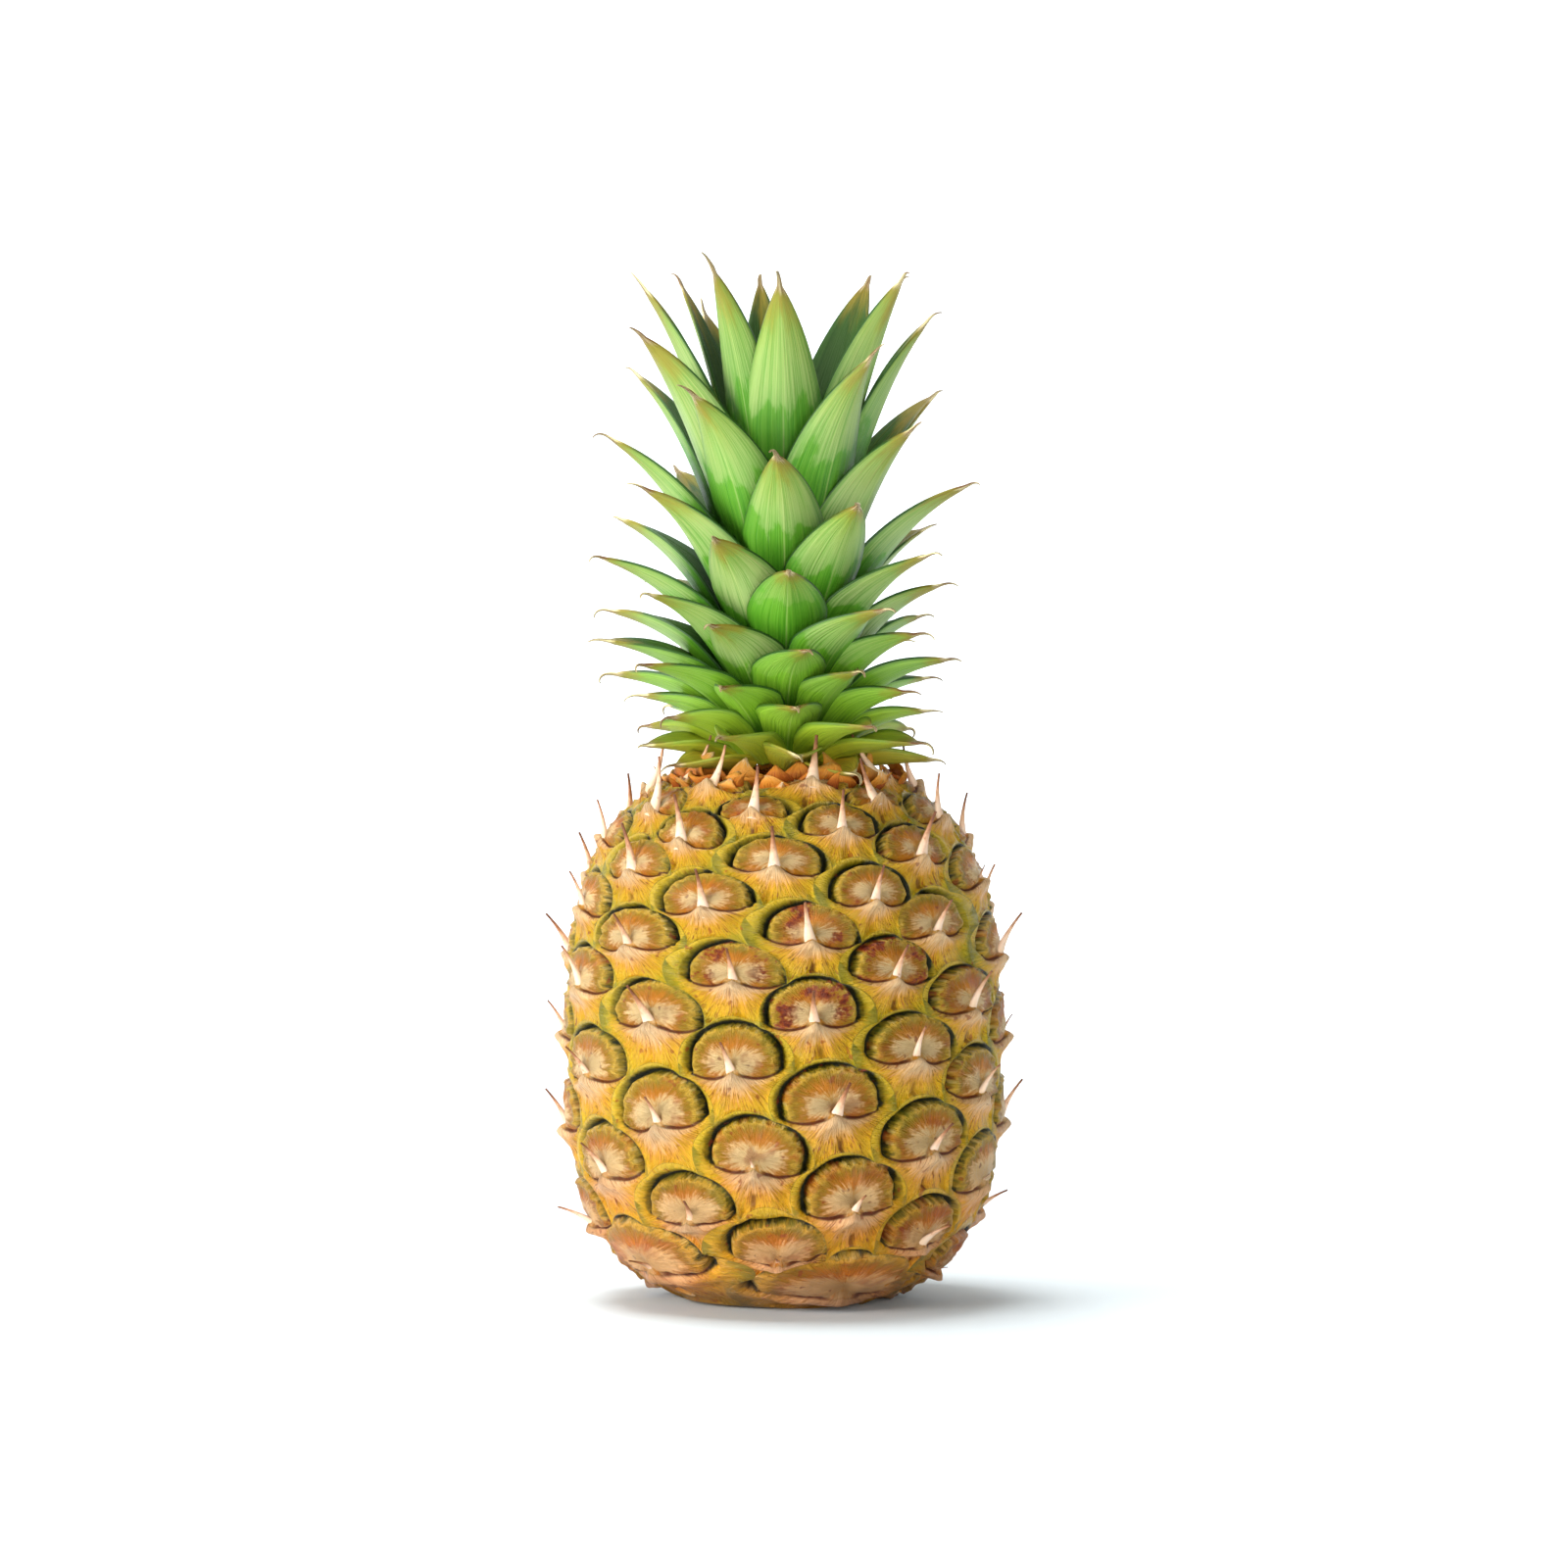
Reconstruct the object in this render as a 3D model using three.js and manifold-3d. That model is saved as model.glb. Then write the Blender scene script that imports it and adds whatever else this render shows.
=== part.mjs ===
// A fresh pineapple with its crown, as picked, standing on its trimmed base.
// Millimetres, +Z up, origin at the middle of the base. The side that faces -Y is the front.
import * as THREE from 'three';
import { ConvexHull } from 'three/addons/math/ConvexHull.js';
import Module from 'manifold-3d';

const wasm = await Module();
wasm.setup();

const DEG = Math.PI / 180;
const FULL_TURN = 2 * Math.PI;
const CLEARANCE = 0.3;

// Fruit: a barrel whose section is two quarter curves that meet at the widest ring
const GIRTH_RADIUS = 55.9;
const GIRTH_HEIGHT = 66;
const LOWER_DEPTH = 67.5;
const UPPER_RISE = 74;
const LOWER_CURVE = { height: 0.667, radius: 0.8 };
const UPPER_CURVE = { height: 0.714, radius: 0.66 };
const SECTION_STEPS = 400;
const SEAT_HEIGHT = 136.4;

// Eyes: one on each step of a spiral, 13 columns of them leaning to the left as they rise. They
// crowd a little towards the front, and a few stand off the spiral, by degrees and millimetres
const EYE_TURN = 137.99 * DEG;
const EYE_START = 28 * DEG;
const EYE_AT_GIRTH = 34;
const EYE_LIFT = 2.6;
const RISE_BELOW = 1.84;
const RISE_ABOVE = 1.67;
const RISE_EASE = 0.0038;
const LOWEST_EYE = -2;
const HIGHEST_EYE = 90;
const ROW_SLOPE = 0.063;
const EYE_CROWDING = 6.8 * DEG;
const EYE_WANDER = { azimuth: 1.5 * DEG, along: 0.6 };
const STRAY_EYES = { 36: [4, 2.5], 44: [4, 2], 52: [4, 1], 55: [-6, -1], 70: [-4, -2], 78: [-4, -2] };
const EDGE_SPLITS = 2;
const EDGE_BULGE = 0.13;

// Relief of an eye, from its middle to its edge: a low disc above, a bract below, a furrow round both
const RING_FRACTIONS = [0.45, 0.8];
const DISC_RELIEF = [2.4, 1.9];
const BRACT_RELIEF = [1.6, 0.7];
const MOUTH_RELIEF = 1.4;
const FURROW_DEPTH = 0.7;

// Spines: the dry tips of the bracts, longer towards the top
const SPINE_LENGTH = { base: 8, top: 13.5 };
const SPINE_ROOT = { width: 4.2, depth: 2, below: 2.6 };
const SPINE_SINK = 2.2;
const SPINE_LEAN = { low: 16 * DEG, high: 38 * DEG };
const SPINE_STEPS = 2;

// Stalk: the woody stub, cut flush with the base
const STALK_RADIUS = 13;
const STALK_DEPTH = 6;
const ROUND_SIDES = 28;
const CORE_SIDES = 18;

// Collar: dried bracts round the foot of the crown
const COLLAR = { inner: 19.2, outer: 24.5, height: 2.2, bracts: 22 };
const COLLAR_BRACT = { length: 6.5, width: 7, thickness: 1.2, rise: 1.8 };

// Crown: leaves on a spiral of their own, close to 5 turns in 13 leaves, so they stand in columns
const CROWN_TURN = 138.4 * DEG;
const CROWN_LEAVES = 78;
const FRONT_LEAF = 70;
const CORE = [
  { radius: 18.6, rise: 0 },
  { radius: 18.2, rise: 12 },
  { radius: 15, rise: 52 },
  { radius: 9, rise: 78 },
  { radius: 3, rise: 96 },
];
const LEAF_STEPS = 4;
const LEAF_SINK = 5;
const LEAF_FOOT = { rise: 3.9, step: 0.2, growth: 0.0062 };
const LEAF_TIP = { rise: 8, step: 0.98, growth: 2.55e-6, highest: 139 };
const LEAF_SPREAD = { low: 36, high: 46, heart: 14 };
const LEAF_WIDTH = { low: 15, high: 22, foot: 0.8, widest: 0.44, taper: 1.5 };

const skin = { fruit: 0xc79a3f, stalk: 0xb99a6b, collar: 0xa8642c, crown: 0x5f9e4a };

// A seeded draw, so that the model comes out the same each time
function seededDraw(seed) {
  let state = seed;
  return () => {
    state = (state * 1664525 + 1013904223) % 4294967296;
    return state / 4294967296;
  };
}

function mix(from, to, share) {
  return from + (to - from) * share;
}

// Closed solid through rings of equal count, capped at the start, ending in a cap or a point
function loft(rings, point = null) {
  const count = rings[0].length;
  const places = rings.flat();
  const faces = [];
  for (let ring = 0; ring + 1 < rings.length; ring += 1) {
    for (let side = 0; side < count; side += 1) {
      const a = ring * count + side;
      const b = ring * count + ((side + 1) % count);
      faces.push([a, b, b + count], [a, b + count, a + count]);
    }
  }
  for (let side = 1; side + 1 < count; side += 1) {
    faces.push([0, side + 1, side]);
  }
  const last = (rings.length - 1) * count;
  if (point) {
    places.push(point);
    for (let side = 0; side < count; side += 1) {
      faces.push([last + side, last + ((side + 1) % count), places.length - 1]);
    }
  } else {
    for (let side = 1; side + 1 < count; side += 1) {
      faces.push([last, last + side, last + side + 1]);
    }
  }
  return solidFrom(places, faces);
}

function solidFrom(places, faces) {
  const positions = new Float32Array(places.flatMap((place) => [place.x, place.y, place.z]));
  const mesh = new wasm.Mesh({
    numProp: 3,
    vertProperties: positions,
    triVerts: new Uint32Array(faces.flat()),
  });
  return new wasm.Manifold(mesh);
}

function geometryFrom(solid) {
  const mesh = solid.getMesh();
  const geometry = new THREE.BufferGeometry();
  geometry.setAttribute('position', new THREE.BufferAttribute(mesh.vertProperties, 3));
  geometry.setIndex(new THREE.BufferAttribute(mesh.triVerts, 1));
  geometry.computeVertexNormals();
  return geometry;
}

function joined(solids) {
  let row = solids;
  while (row.length > 1) {
    const next = [];
    for (let i = 0; i < row.length; i += 2) {
      next.push(i + 1 < row.length ? row[i].add(row[i + 1]) : row[i]);
    }
    row = next;
  }
  return row[0];
}

// Azimuth 0 is the front; it grows towards the right-hand side as the front is looked at
function atAzimuth(radius, azimuth, height) {
  return new THREE.Vector3(radius * Math.sin(azimuth), -radius * Math.cos(azimuth), height);
}

function circle(radius, height, sides = ROUND_SIDES) {
  return Array.from({ length: sides }, (_, i) => atAzimuth(radius, (i / sides) * FULL_TURN, height));
}

// The body's section, with the distance walked along it from the lowest point, and the same
// distance measured in radii from the widest ring, which maps the body evenly onto a ball
function bodySection() {
  const points = [];
  let along = 0;
  for (let i = 0; i <= SECTION_STEPS; i += 1) {
    const angle = (i / SECTION_STEPS - 0.5) * Math.PI;
    const lower = angle < 0;
    const curve = lower ? LOWER_CURVE : UPPER_CURVE;
    const reach = lower ? -LOWER_DEPTH : UPPER_RISE;
    const height = GIRTH_HEIGHT + reach * Math.abs(Math.sin(angle)) ** curve.height;
    const radius = GIRTH_RADIUS * Math.max(Math.cos(angle), 0) ** curve.radius;
    if (i > 0) {
      const before = points[i - 1];
      along += Math.hypot(radius - before.radius, height - before.height);
    }
    points.push({ radius, height, along });
  }
  const girth = SECTION_STEPS / 2;
  points[girth].radii = 0;
  [1, -1].forEach((way) => {
    let radii = 0;
    for (let i = girth + way; i >= 0 && i <= SECTION_STEPS; i += way) {
      const walked = points[i].along - points[i - way].along;
      radii += walked / Math.max(0.5 * (points[i].radius + points[i - way].radius), 0.01);
      points[i].radii = radii;
    }
  });
  return points;
}

const section = bodySection();
const sectionLength = section[section.length - 1].along;
const girthAlong = section[SECTION_STEPS / 2].along;

function onSection(along) {
  const reach = Math.min(Math.max(along, 0), sectionLength);
  let upper = section.findIndex((point) => point.along >= reach);
  upper = Math.max(upper, 1);
  const low = section[upper - 1];
  const high = section[upper];
  const share = (reach - low.along) / (high.along - low.along);
  return {
    radius: mix(low.radius, high.radius, share),
    height: mix(low.height, high.height, share),
    radii: mix(low.radii, high.radii, share),
  };
}

// A place on the bare body, with its outward and upward directions
function onBody(along, azimuth) {
  const step = 1;
  const here = onSection(along);
  const below = onSection(along - step);
  const above = onSection(along + step);
  const radial = above.radius - below.radius;
  const rise = above.height - below.height;
  return {
    place: atAzimuth(here.radius, azimuth, here.height),
    up: atAzimuth(radial, azimuth, rise).normalize(),
    outward: atAzimuth(rise, azimuth, -radial).normalize(),
  };
}

function turnBetween(from, to) {
  const turn = (to - from) % FULL_TURN;
  if (turn > Math.PI) {
    return turn - FULL_TURN;
  }
  return turn < -Math.PI ? turn + FULL_TURN : turn;
}

// Each eye below the widest ring takes the same area; above it, the same share of the section
function eyeAlong(index) {
  let along = girthAlong + EYE_LIFT;
  const above = index - EYE_AT_GIRTH;
  if (above >= 0) {
    return along + RISE_ABOVE * above - RISE_EASE * above ** 2;
  }
  for (let step = EYE_AT_GIRTH; step > index; step -= 1) {
    along -= (RISE_BELOW * GIRTH_RADIUS) / Math.max(onSection(along).radius, 1);
  }
  return along;
}

function eyeSpiral() {
  const draw = seededDraw(7);
  const eyes = [];
  for (let index = LOWEST_EYE; index <= HIGHEST_EYE; index += 1) {
    const [stray, lift] = STRAY_EYES[index] ?? [0, 0];
    const turned = EYE_START + EYE_TURN * index + EYE_WANDER.azimuth * (2 * draw() - 1);
    const azimuth = turned - EYE_CROWDING * Math.sin(turned) + stray * DEG;
    const level = eyeAlong(index) + EYE_WANDER.along * (2 * draw() - 1) + lift;
    const sideways = onSection(level).radius * Math.sin(azimuth);
    eyes.push({ index, azimuth, along: level - ROW_SLOPE * sideways });
  }
  return eyes;
}

// The corners where three eyes meet, found from the hull of all the eyes' middles on a ball
function eyeCorners(eyes) {
  const poles = [{ along: 0, azimuth: 0 }, { along: sectionLength, azimuth: 0 }];
  const all = [...eyes, ...poles];
  const points = all.map((eye) => {
    const { radii } = onSection(eye.along);
    return atAzimuth(1 / Math.cosh(radii), eye.azimuth, Math.tanh(radii));
  });
  const order = new Map(points.map((point, i) => [point, i]));
  const hull = new ConvexHull().setFromPoints(points);
  return hull.faces.map((face) => {
    const owners = [0, 1, 2].map((i) => order.get(face.getEdge(i).head().point));
    const middle = new THREE.Vector3();
    owners.forEach((i) => middle.add(points[i]));
    const along = owners.reduce((sum, i) => sum + all[i].along, 0) / owners.length;
    return { owners, along, azimuth: Math.atan2(middle.x, -middle.y) };
  });
}

// The corners of one eye, in order round it
function cornersRound(owner, middle, corners) {
  const own = corners
    .map((corner, id) => ({ ...corner, id }))
    .filter((corner) => corner.owners.includes(owner));
  const bearing = (corner) => {
    if (middle.pole) {
      return middle.pole * corner.azimuth;
    }
    const across = turnBetween(middle.azimuth, corner.azimuth) * onSection(middle.along).radius;
    return Math.atan2(corner.along - middle.along, across);
  };
  return own.sort((a, b) => bearing(a) - bearing(b));
}

// Skin of the whole fruit: every eye is a fan of rings that shares its edge with its neighbours
function fruitBody(eyes) {
  const corners = eyeCorners(eyes);
  const places = [];
  const faces = [];
  const shared = new Map();

  const edgePoint = (from, to, split) => {
    const forward = from.id < to.id;
    const [low, high] = forward ? [from, to] : [to, from];
    const share = forward ? split / EDGE_SPLITS : 1 - split / EDGE_SPLITS;
    let along = mix(low.along, high.along, share);
    let azimuth = low.azimuth + turnBetween(low.azimuth, high.azimuth) * share;
    const both = from.owners.filter((owner) => to.owners.includes(owner) && owner < eyes.length);
    if (both.length === 2) {
      const [lower, upper] = both.map((owner) => eyes[owner]).sort((a, b) => a.along - b.along);
      const bow = EDGE_BULGE * 4 * share * (1 - share);
      along += bow * (upper.along - lower.along);
      azimuth += bow * turnBetween(lower.azimuth, upper.azimuth);
    }
    const key = split === 0 ? `${from.id}` : `${low.id}/${high.id}/${Math.round(share * EDGE_SPLITS)}`;
    if (!shared.has(key)) {
      const { place, outward } = onBody(along, azimuth);
      shared.set(key, places.push(place.addScaledVector(outward, -FURROW_DEPTH)) - 1);
    }
    return { along, azimuth, vertex: shared.get(key) };
  };

  const edgeOf = (owner, middle) => {
    const round = cornersRound(owner, middle, corners);
    return round.flatMap((corner, i) => {
      const next = round[(i + 1) % round.length];
      return Array.from({ length: EDGE_SPLITS }, (_, split) => edgePoint(corner, next, split));
    });
  };

  const stitch = (outer, inner) => {
    outer.forEach((vertex, i) => {
      const j = (i + 1) % outer.length;
      faces.push([vertex, outer[j], inner[j]], [vertex, inner[j], inner[i]]);
    });
  };

  const fan = (ring, middle) => {
    ring.forEach((vertex, i) => faces.push([vertex, ring[(i + 1) % ring.length], middle]));
  };

  eyes.forEach((eye, owner) => {
    const edge = edgeOf(owner, eye);
    const radius = onSection(eye.along).radius;
    let outer = edge.map((point) => point.vertex);
    for (let ring = RING_FRACTIONS.length - 1; ring >= 0; ring -= 1) {
      const fraction = RING_FRACTIONS[ring];
      const inner = edge.map((point) => {
        const turn = turnBetween(eye.azimuth, point.azimuth);
        const rise = point.along - eye.along;
        const upness = 0.5 + 0.5 * Math.sin(Math.atan2(rise, turn * radius));
        const relief = mix(BRACT_RELIEF[ring], DISC_RELIEF[ring], upness);
        const { place, outward } = onBody(eye.along + rise * fraction, eye.azimuth + turn * fraction);
        return places.push(place.addScaledVector(outward, relief)) - 1;
      });
      stitch(outer, inner);
      outer = inner;
    }
    const { place, outward } = onBody(eye.along, eye.azimuth);
    fan(outer, places.push(place.addScaledVector(outward, MOUTH_RELIEF)) - 1);
  });

  [0, sectionLength].forEach((along, i) => {
    const ring = edgeOf(eyes.length + i, { pole: i === 0 ? -1 : 1 });
    fan(ring.map((point) => point.vertex), places.push(onBody(along, 0).place) - 1);
  });
  return solidFrom(places, faces);
}

// A thin three-sided spine that leaves the middle of an eye upwards and curves away from the body
function spine(eye, draw) {
  const { place, up, outward } = onBody(eye.along - SPINE_ROOT.below, eye.azimuth);
  const right = new THREE.Vector3().crossVectors(up, outward);
  const level = place.z / SEAT_HEIGHT;
  const length = mix(SPINE_LENGTH.base, SPINE_LENGTH.top, level) * (0.85 + 0.3 * draw());
  const sway = 0.5 * (draw() - 0.5);
  const rings = [];
  const centre = place.clone().addScaledVector(outward, -SPINE_SINK);
  const start = centre.clone().addScaledVector(outward, SPINE_SINK + MOUTH_RELIEF + 0.3);
  for (let step = 0; step <= SPINE_STEPS; step += 1) {
    const share = step / SPINE_STEPS;
    const lean = mix(SPINE_LEAN.low, SPINE_LEAN.high, share * level);
    const heading = up.clone().multiplyScalar(Math.cos(lean));
    heading.addScaledVector(outward, Math.sin(lean)).addScaledVector(right, sway * share).normalize();
    const thin = 1 - 0.9 * share;
    const root = start.clone().addScaledVector(heading, share * length);
    const foot = root.clone().addScaledVector(outward, -(SPINE_ROOT.depth * thin));
    const half = 0.5 * SPINE_ROOT.width * thin;
    rings.push([
      foot.clone().addScaledVector(right, half),
      foot.clone().addScaledVector(right, -half),
      root,
    ]);
  }
  const tip = rings.pop()[2];
  return loft(rings, tip);
}

function fruit() {
  const eyes = eyeSpiral();
  const draw = seededDraw(11);
  const rough = joined([fruitBody(eyes), ...eyes.map((eye) => spine(eye, draw))]);
  const wide = 2 * GIRTH_RADIUS;
  const below = loft([circle(wide, -20), circle(wide, 0)]);
  const above = loft([circle(COLLAR.outer + 5, SEAT_HEIGHT), circle(COLLAR.outer + 5, SEAT_HEIGHT + 30)]);
  const socketRadius = STALK_RADIUS + CLEARANCE;
  const socket = loft([circle(socketRadius, -20), circle(socketRadius, STALK_DEPTH + CLEARANCE)]);
  return rough.subtract(below).subtract(above).subtract(socket);
}

function cutStalk() {
  return loft([circle(STALK_RADIUS, 0), circle(STALK_RADIUS, STALK_DEPTH)]);
}

// A channelled blade: its line runs in the upright plane at its azimuth, from foot to tip
function blade({ foot, bend, tip, azimuth, sway, width, thickness, hollow, widthAt, steps }) {
  const line = new THREE.QuadraticBezierCurve(
    new THREE.Vector2(foot.radius, foot.height),
    new THREE.Vector2(bend.radius, bend.height),
    new THREE.Vector2(tip.radius, tip.height),
  );
  const rings = [];
  for (let step = 0; step < steps; step += 1) {
    const share = step / steps;
    const spot = line.getPoint(share);
    const tangent = line.getTangent(share);
    const turned = azimuth + sway * share * share;
    const centre = atAzimuth(spot.x, turned, spot.y);
    const outer = atAzimuth(tangent.y, turned, -tangent.x);
    const right = new THREE.Vector3(Math.cos(turned), Math.sin(turned), 0);
    const half = 0.5 * width * widthAt(share);
    const wall = 0.5 * thickness * (1 - 0.4 * share);
    const edgeLift = -hollow * half * (1 - 0.45 * share);
    rings.push([
      centre.clone().addScaledVector(right, -half).addScaledVector(outer, edgeLift),
      centre.clone().addScaledVector(outer, wall),
      centre.clone().addScaledVector(right, half).addScaledVector(outer, edgeLift),
      centre.clone().addScaledVector(outer, -wall),
    ]);
  }
  return loft(rings, atAzimuth(tip.radius, azimuth + sway, tip.height));
}

// A leaf's width along it, as a share of its widest; a blunt one stays wide nearer its tip
function leafWidth(share, blunt) {
  const widest = LEAF_WIDTH.widest + 0.12 * blunt;
  if (share < widest) {
    return mix(LEAF_WIDTH.foot, 1, share / widest);
  }
  return 1 - ((share - widest) / (1 - widest)) ** (LEAF_WIDTH.taper + 0.5 * blunt);
}

// One crown leaf: higher leaves are longer, wider and steeper, and those of the heart are slim
function crownLeaf(index, draw) {
  const level = index / CROWN_LEAVES;
  const rounded = Math.sin(0.5 * Math.PI * Math.min(1.6 * level, 1));
  const footRise = LEAF_FOOT.rise + LEAF_FOOT.step * index + LEAF_FOOT.growth * index ** 2;
  const tipRise = LEAF_TIP.rise + LEAF_TIP.step * index + LEAF_TIP.growth * index ** 4;
  const spread = mix(LEAF_SPREAD.low, LEAF_SPREAD.high, rounded) - LEAF_SPREAD.heart * level ** 8;
  const tipRadius = spread * (1 + 0.1 * (2 * draw() - 1));
  const tipHeight = Math.min(tipRise, LEAF_TIP.highest) * (1 + 0.015 * (2 * draw() - 1));
  const foot = { radius: Math.max(coreRadius(footRise) - LEAF_SINK, 1), height: SEAT_HEIGHT + footRise };
  const tip = { radius: tipRadius, height: SEAT_HEIGHT + tipHeight };
  const arch = mix(0.95, 0.7, level);
  const blunt = THREE.MathUtils.clamp(1.2 - 3 * level, 0, 1);
  const slim = 1 - 0.45 * THREE.MathUtils.smoothstep(level, 0.9, 1);
  return blade({
    foot,
    tip,
    bend: { radius: mix(foot.radius, tip.radius, 0.4), height: mix(foot.height, tip.height, arch) },
    azimuth: CROWN_TURN * (index - FRONT_LEAF),
    sway: 0.22 * (draw() - 0.5),
    width: mix(LEAF_WIDTH.low, LEAF_WIDTH.high, Math.min(level * 1.6, 1)) * slim,
    thickness: 2,
    hollow: 0.55,
    widthAt: (share) => leafWidth(share, blunt),
    steps: LEAF_STEPS,
  });
}

function coreRadius(rise) {
  const above = Math.max(CORE.findIndex((ring) => ring.rise >= rise), 1);
  const low = CORE[above - 1];
  const high = CORE[above];
  return mix(low.radius, high.radius, (rise - low.rise) / (high.rise - low.rise));
}

function crown() {
  const foot = SEAT_HEIGHT + CLEARANCE;
  const stem = loft(CORE.map((ring) => circle(ring.radius, foot + ring.rise, CORE_SIDES)));
  const draw = seededDraw(23);
  const leaves = Array.from({ length: CROWN_LEAVES }, (_, i) => crownLeaf(i, draw));
  return joined([stem, ...leaves]);
}

function collar() {
  const foot = SEAT_HEIGHT + CLEARANCE;
  const outer = loft([circle(COLLAR.outer, foot), circle(COLLAR.outer, foot + COLLAR.height)]);
  const hole = loft([circle(COLLAR.inner, foot - 5), circle(COLLAR.inner, foot + 20)]);
  const draw = seededDraw(31);
  const bracts = Array.from({ length: COLLAR.bracts }, (_, i) => {
    const reach = COLLAR_BRACT.length * (0.8 + 0.4 * draw());
    const root = { radius: COLLAR.outer - 2, height: foot + 0.6 * COLLAR.height };
    const tip = { radius: root.radius + reach, height: root.height + COLLAR_BRACT.rise * draw() };
    return blade({
      foot: root,
      tip,
      bend: { radius: mix(root.radius, tip.radius, 0.6), height: mix(root.height, tip.height, 0.5) + 0.8 },
      azimuth: (i / COLLAR.bracts) * FULL_TURN,
      sway: 0.2 * (draw() - 0.5),
      width: COLLAR_BRACT.width,
      thickness: COLLAR_BRACT.thickness,
      hollow: 0.3,
      widthAt: (share) => leafWidth(share, 0),
      steps: 3,
    });
  });
  return joined([outer, ...bracts]).subtract(hole);
}

function piece(name, solid, color, roughness) {
  const material = new THREE.MeshStandardMaterial({ color, roughness, metalness: 0 });
  const mesh = new THREE.Mesh(geometryFrom(solid), material);
  mesh.name = name;
  return mesh;
}

const pineapple = new THREE.Group();
pineapple.add(
  piece('fruit', fruit(), skin.fruit, 0.5),
  piece('cut_stalk', cutStalk(), skin.stalk, 0.85),
  piece('collar', collar(), skin.collar, 0.8),
  piece('crown', crown(), skin.crown, 0.45),
);

export default pineapple;
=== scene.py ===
# A fresh pineapple with its crown, standing on its trimmed base. Metres, +Z up, front towards -Y.
import math

import bmesh
import bpy
import numpy as np
from mathutils import Matrix, Vector


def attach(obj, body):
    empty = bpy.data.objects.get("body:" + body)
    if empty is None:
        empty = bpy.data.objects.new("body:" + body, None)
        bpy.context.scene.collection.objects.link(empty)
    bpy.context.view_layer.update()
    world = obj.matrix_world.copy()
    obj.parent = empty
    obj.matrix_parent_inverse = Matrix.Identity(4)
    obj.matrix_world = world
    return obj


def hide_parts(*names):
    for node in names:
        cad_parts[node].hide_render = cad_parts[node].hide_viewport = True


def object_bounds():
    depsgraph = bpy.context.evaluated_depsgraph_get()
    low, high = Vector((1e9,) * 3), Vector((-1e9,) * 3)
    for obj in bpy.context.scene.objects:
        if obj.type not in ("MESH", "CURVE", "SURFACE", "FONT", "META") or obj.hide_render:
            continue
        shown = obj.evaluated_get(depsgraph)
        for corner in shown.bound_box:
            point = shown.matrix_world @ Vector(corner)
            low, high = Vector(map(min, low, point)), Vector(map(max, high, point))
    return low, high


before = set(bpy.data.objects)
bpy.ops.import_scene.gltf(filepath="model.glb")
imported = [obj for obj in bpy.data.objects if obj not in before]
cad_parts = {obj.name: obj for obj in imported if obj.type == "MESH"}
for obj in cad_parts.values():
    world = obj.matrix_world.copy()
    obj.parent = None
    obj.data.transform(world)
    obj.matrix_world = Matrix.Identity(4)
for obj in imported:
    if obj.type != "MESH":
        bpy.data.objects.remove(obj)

cad_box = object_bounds()
MM = 0.001

# Studio: a pale sweep under and behind the fruit that glows towards the back, a high soft lamp
# for the shadow, low ones at the left and the front, and a camera at the photo's height.
PICTURE_WIDTH = 0.416
LENS = 150
SENSOR = 36
CAMERA_DISTANCE = PICTURE_WIDTH * LENS / SENSOR
CAMERA_HEIGHT = 0.198
AIM_HEIGHT = 0.1368
SWEEP = {"width": 8.0, "front": -3.5, "back": 2.2, "bend": 0.8, "height": 3.5}
LAMPS = {
    "top_lamp": {"place": (-0.5, 0.3, 3.0), "size": 1.5, "power": 98},
    "left_lamp": {"place": (-1.6, -0.9, 0.42), "size": 1.1, "power": 48},
    "front_lamp": {"place": (0.4, -2.3, 0.26), "size": 1.2, "power": 38},
}
SKY_LIGHT = 0.11
CARD_SHADE = (0.73, 0.8, 0.83, 1)
CARD_GLOW = {"strength": 0.6, "from": 0.15, "to": 1.2}


def paint(code):
    """A colour written as red, green and blue in hexadecimal, as linear values."""
    parts = [int(code[i:i + 2], 16) / 255 for i in (0, 2, 4)]
    linear = [c / 12.92 if c <= 0.04045 else ((c + 0.055) / 1.055) ** 2.4 for c in parts]
    return (*linear, 1.0)


def add_camera():
    drop = CAMERA_HEIGHT - AIM_HEIGHT
    data = bpy.data.cameras.new("camera")
    data.lens = LENS
    data.sensor_width = SENSOR
    data.clip_end = 20
    camera = bpy.data.objects.new("camera", data)
    camera.location = (0, -math.sqrt(CAMERA_DISTANCE ** 2 - drop ** 2), CAMERA_HEIGHT)
    camera.rotation_euler = (math.pi / 2 - math.asin(drop / CAMERA_DISTANCE), 0, 0)
    bpy.context.scene.collection.objects.link(camera)
    bpy.context.scene.camera = camera


def add_lamp(name, lamp):
    data = bpy.data.lights.new(name, "AREA")
    data.size = lamp["size"]
    data.energy = lamp["power"]
    lit = bpy.data.objects.new(name, data)
    lit.location = lamp["place"]
    aim = Vector((0, 0, AIM_HEIGHT)) - Vector(lamp["place"])
    lit.rotation_euler = aim.to_track_quat("-Z", "Y").to_euler()
    bpy.context.scene.collection.objects.link(lit)


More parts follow.
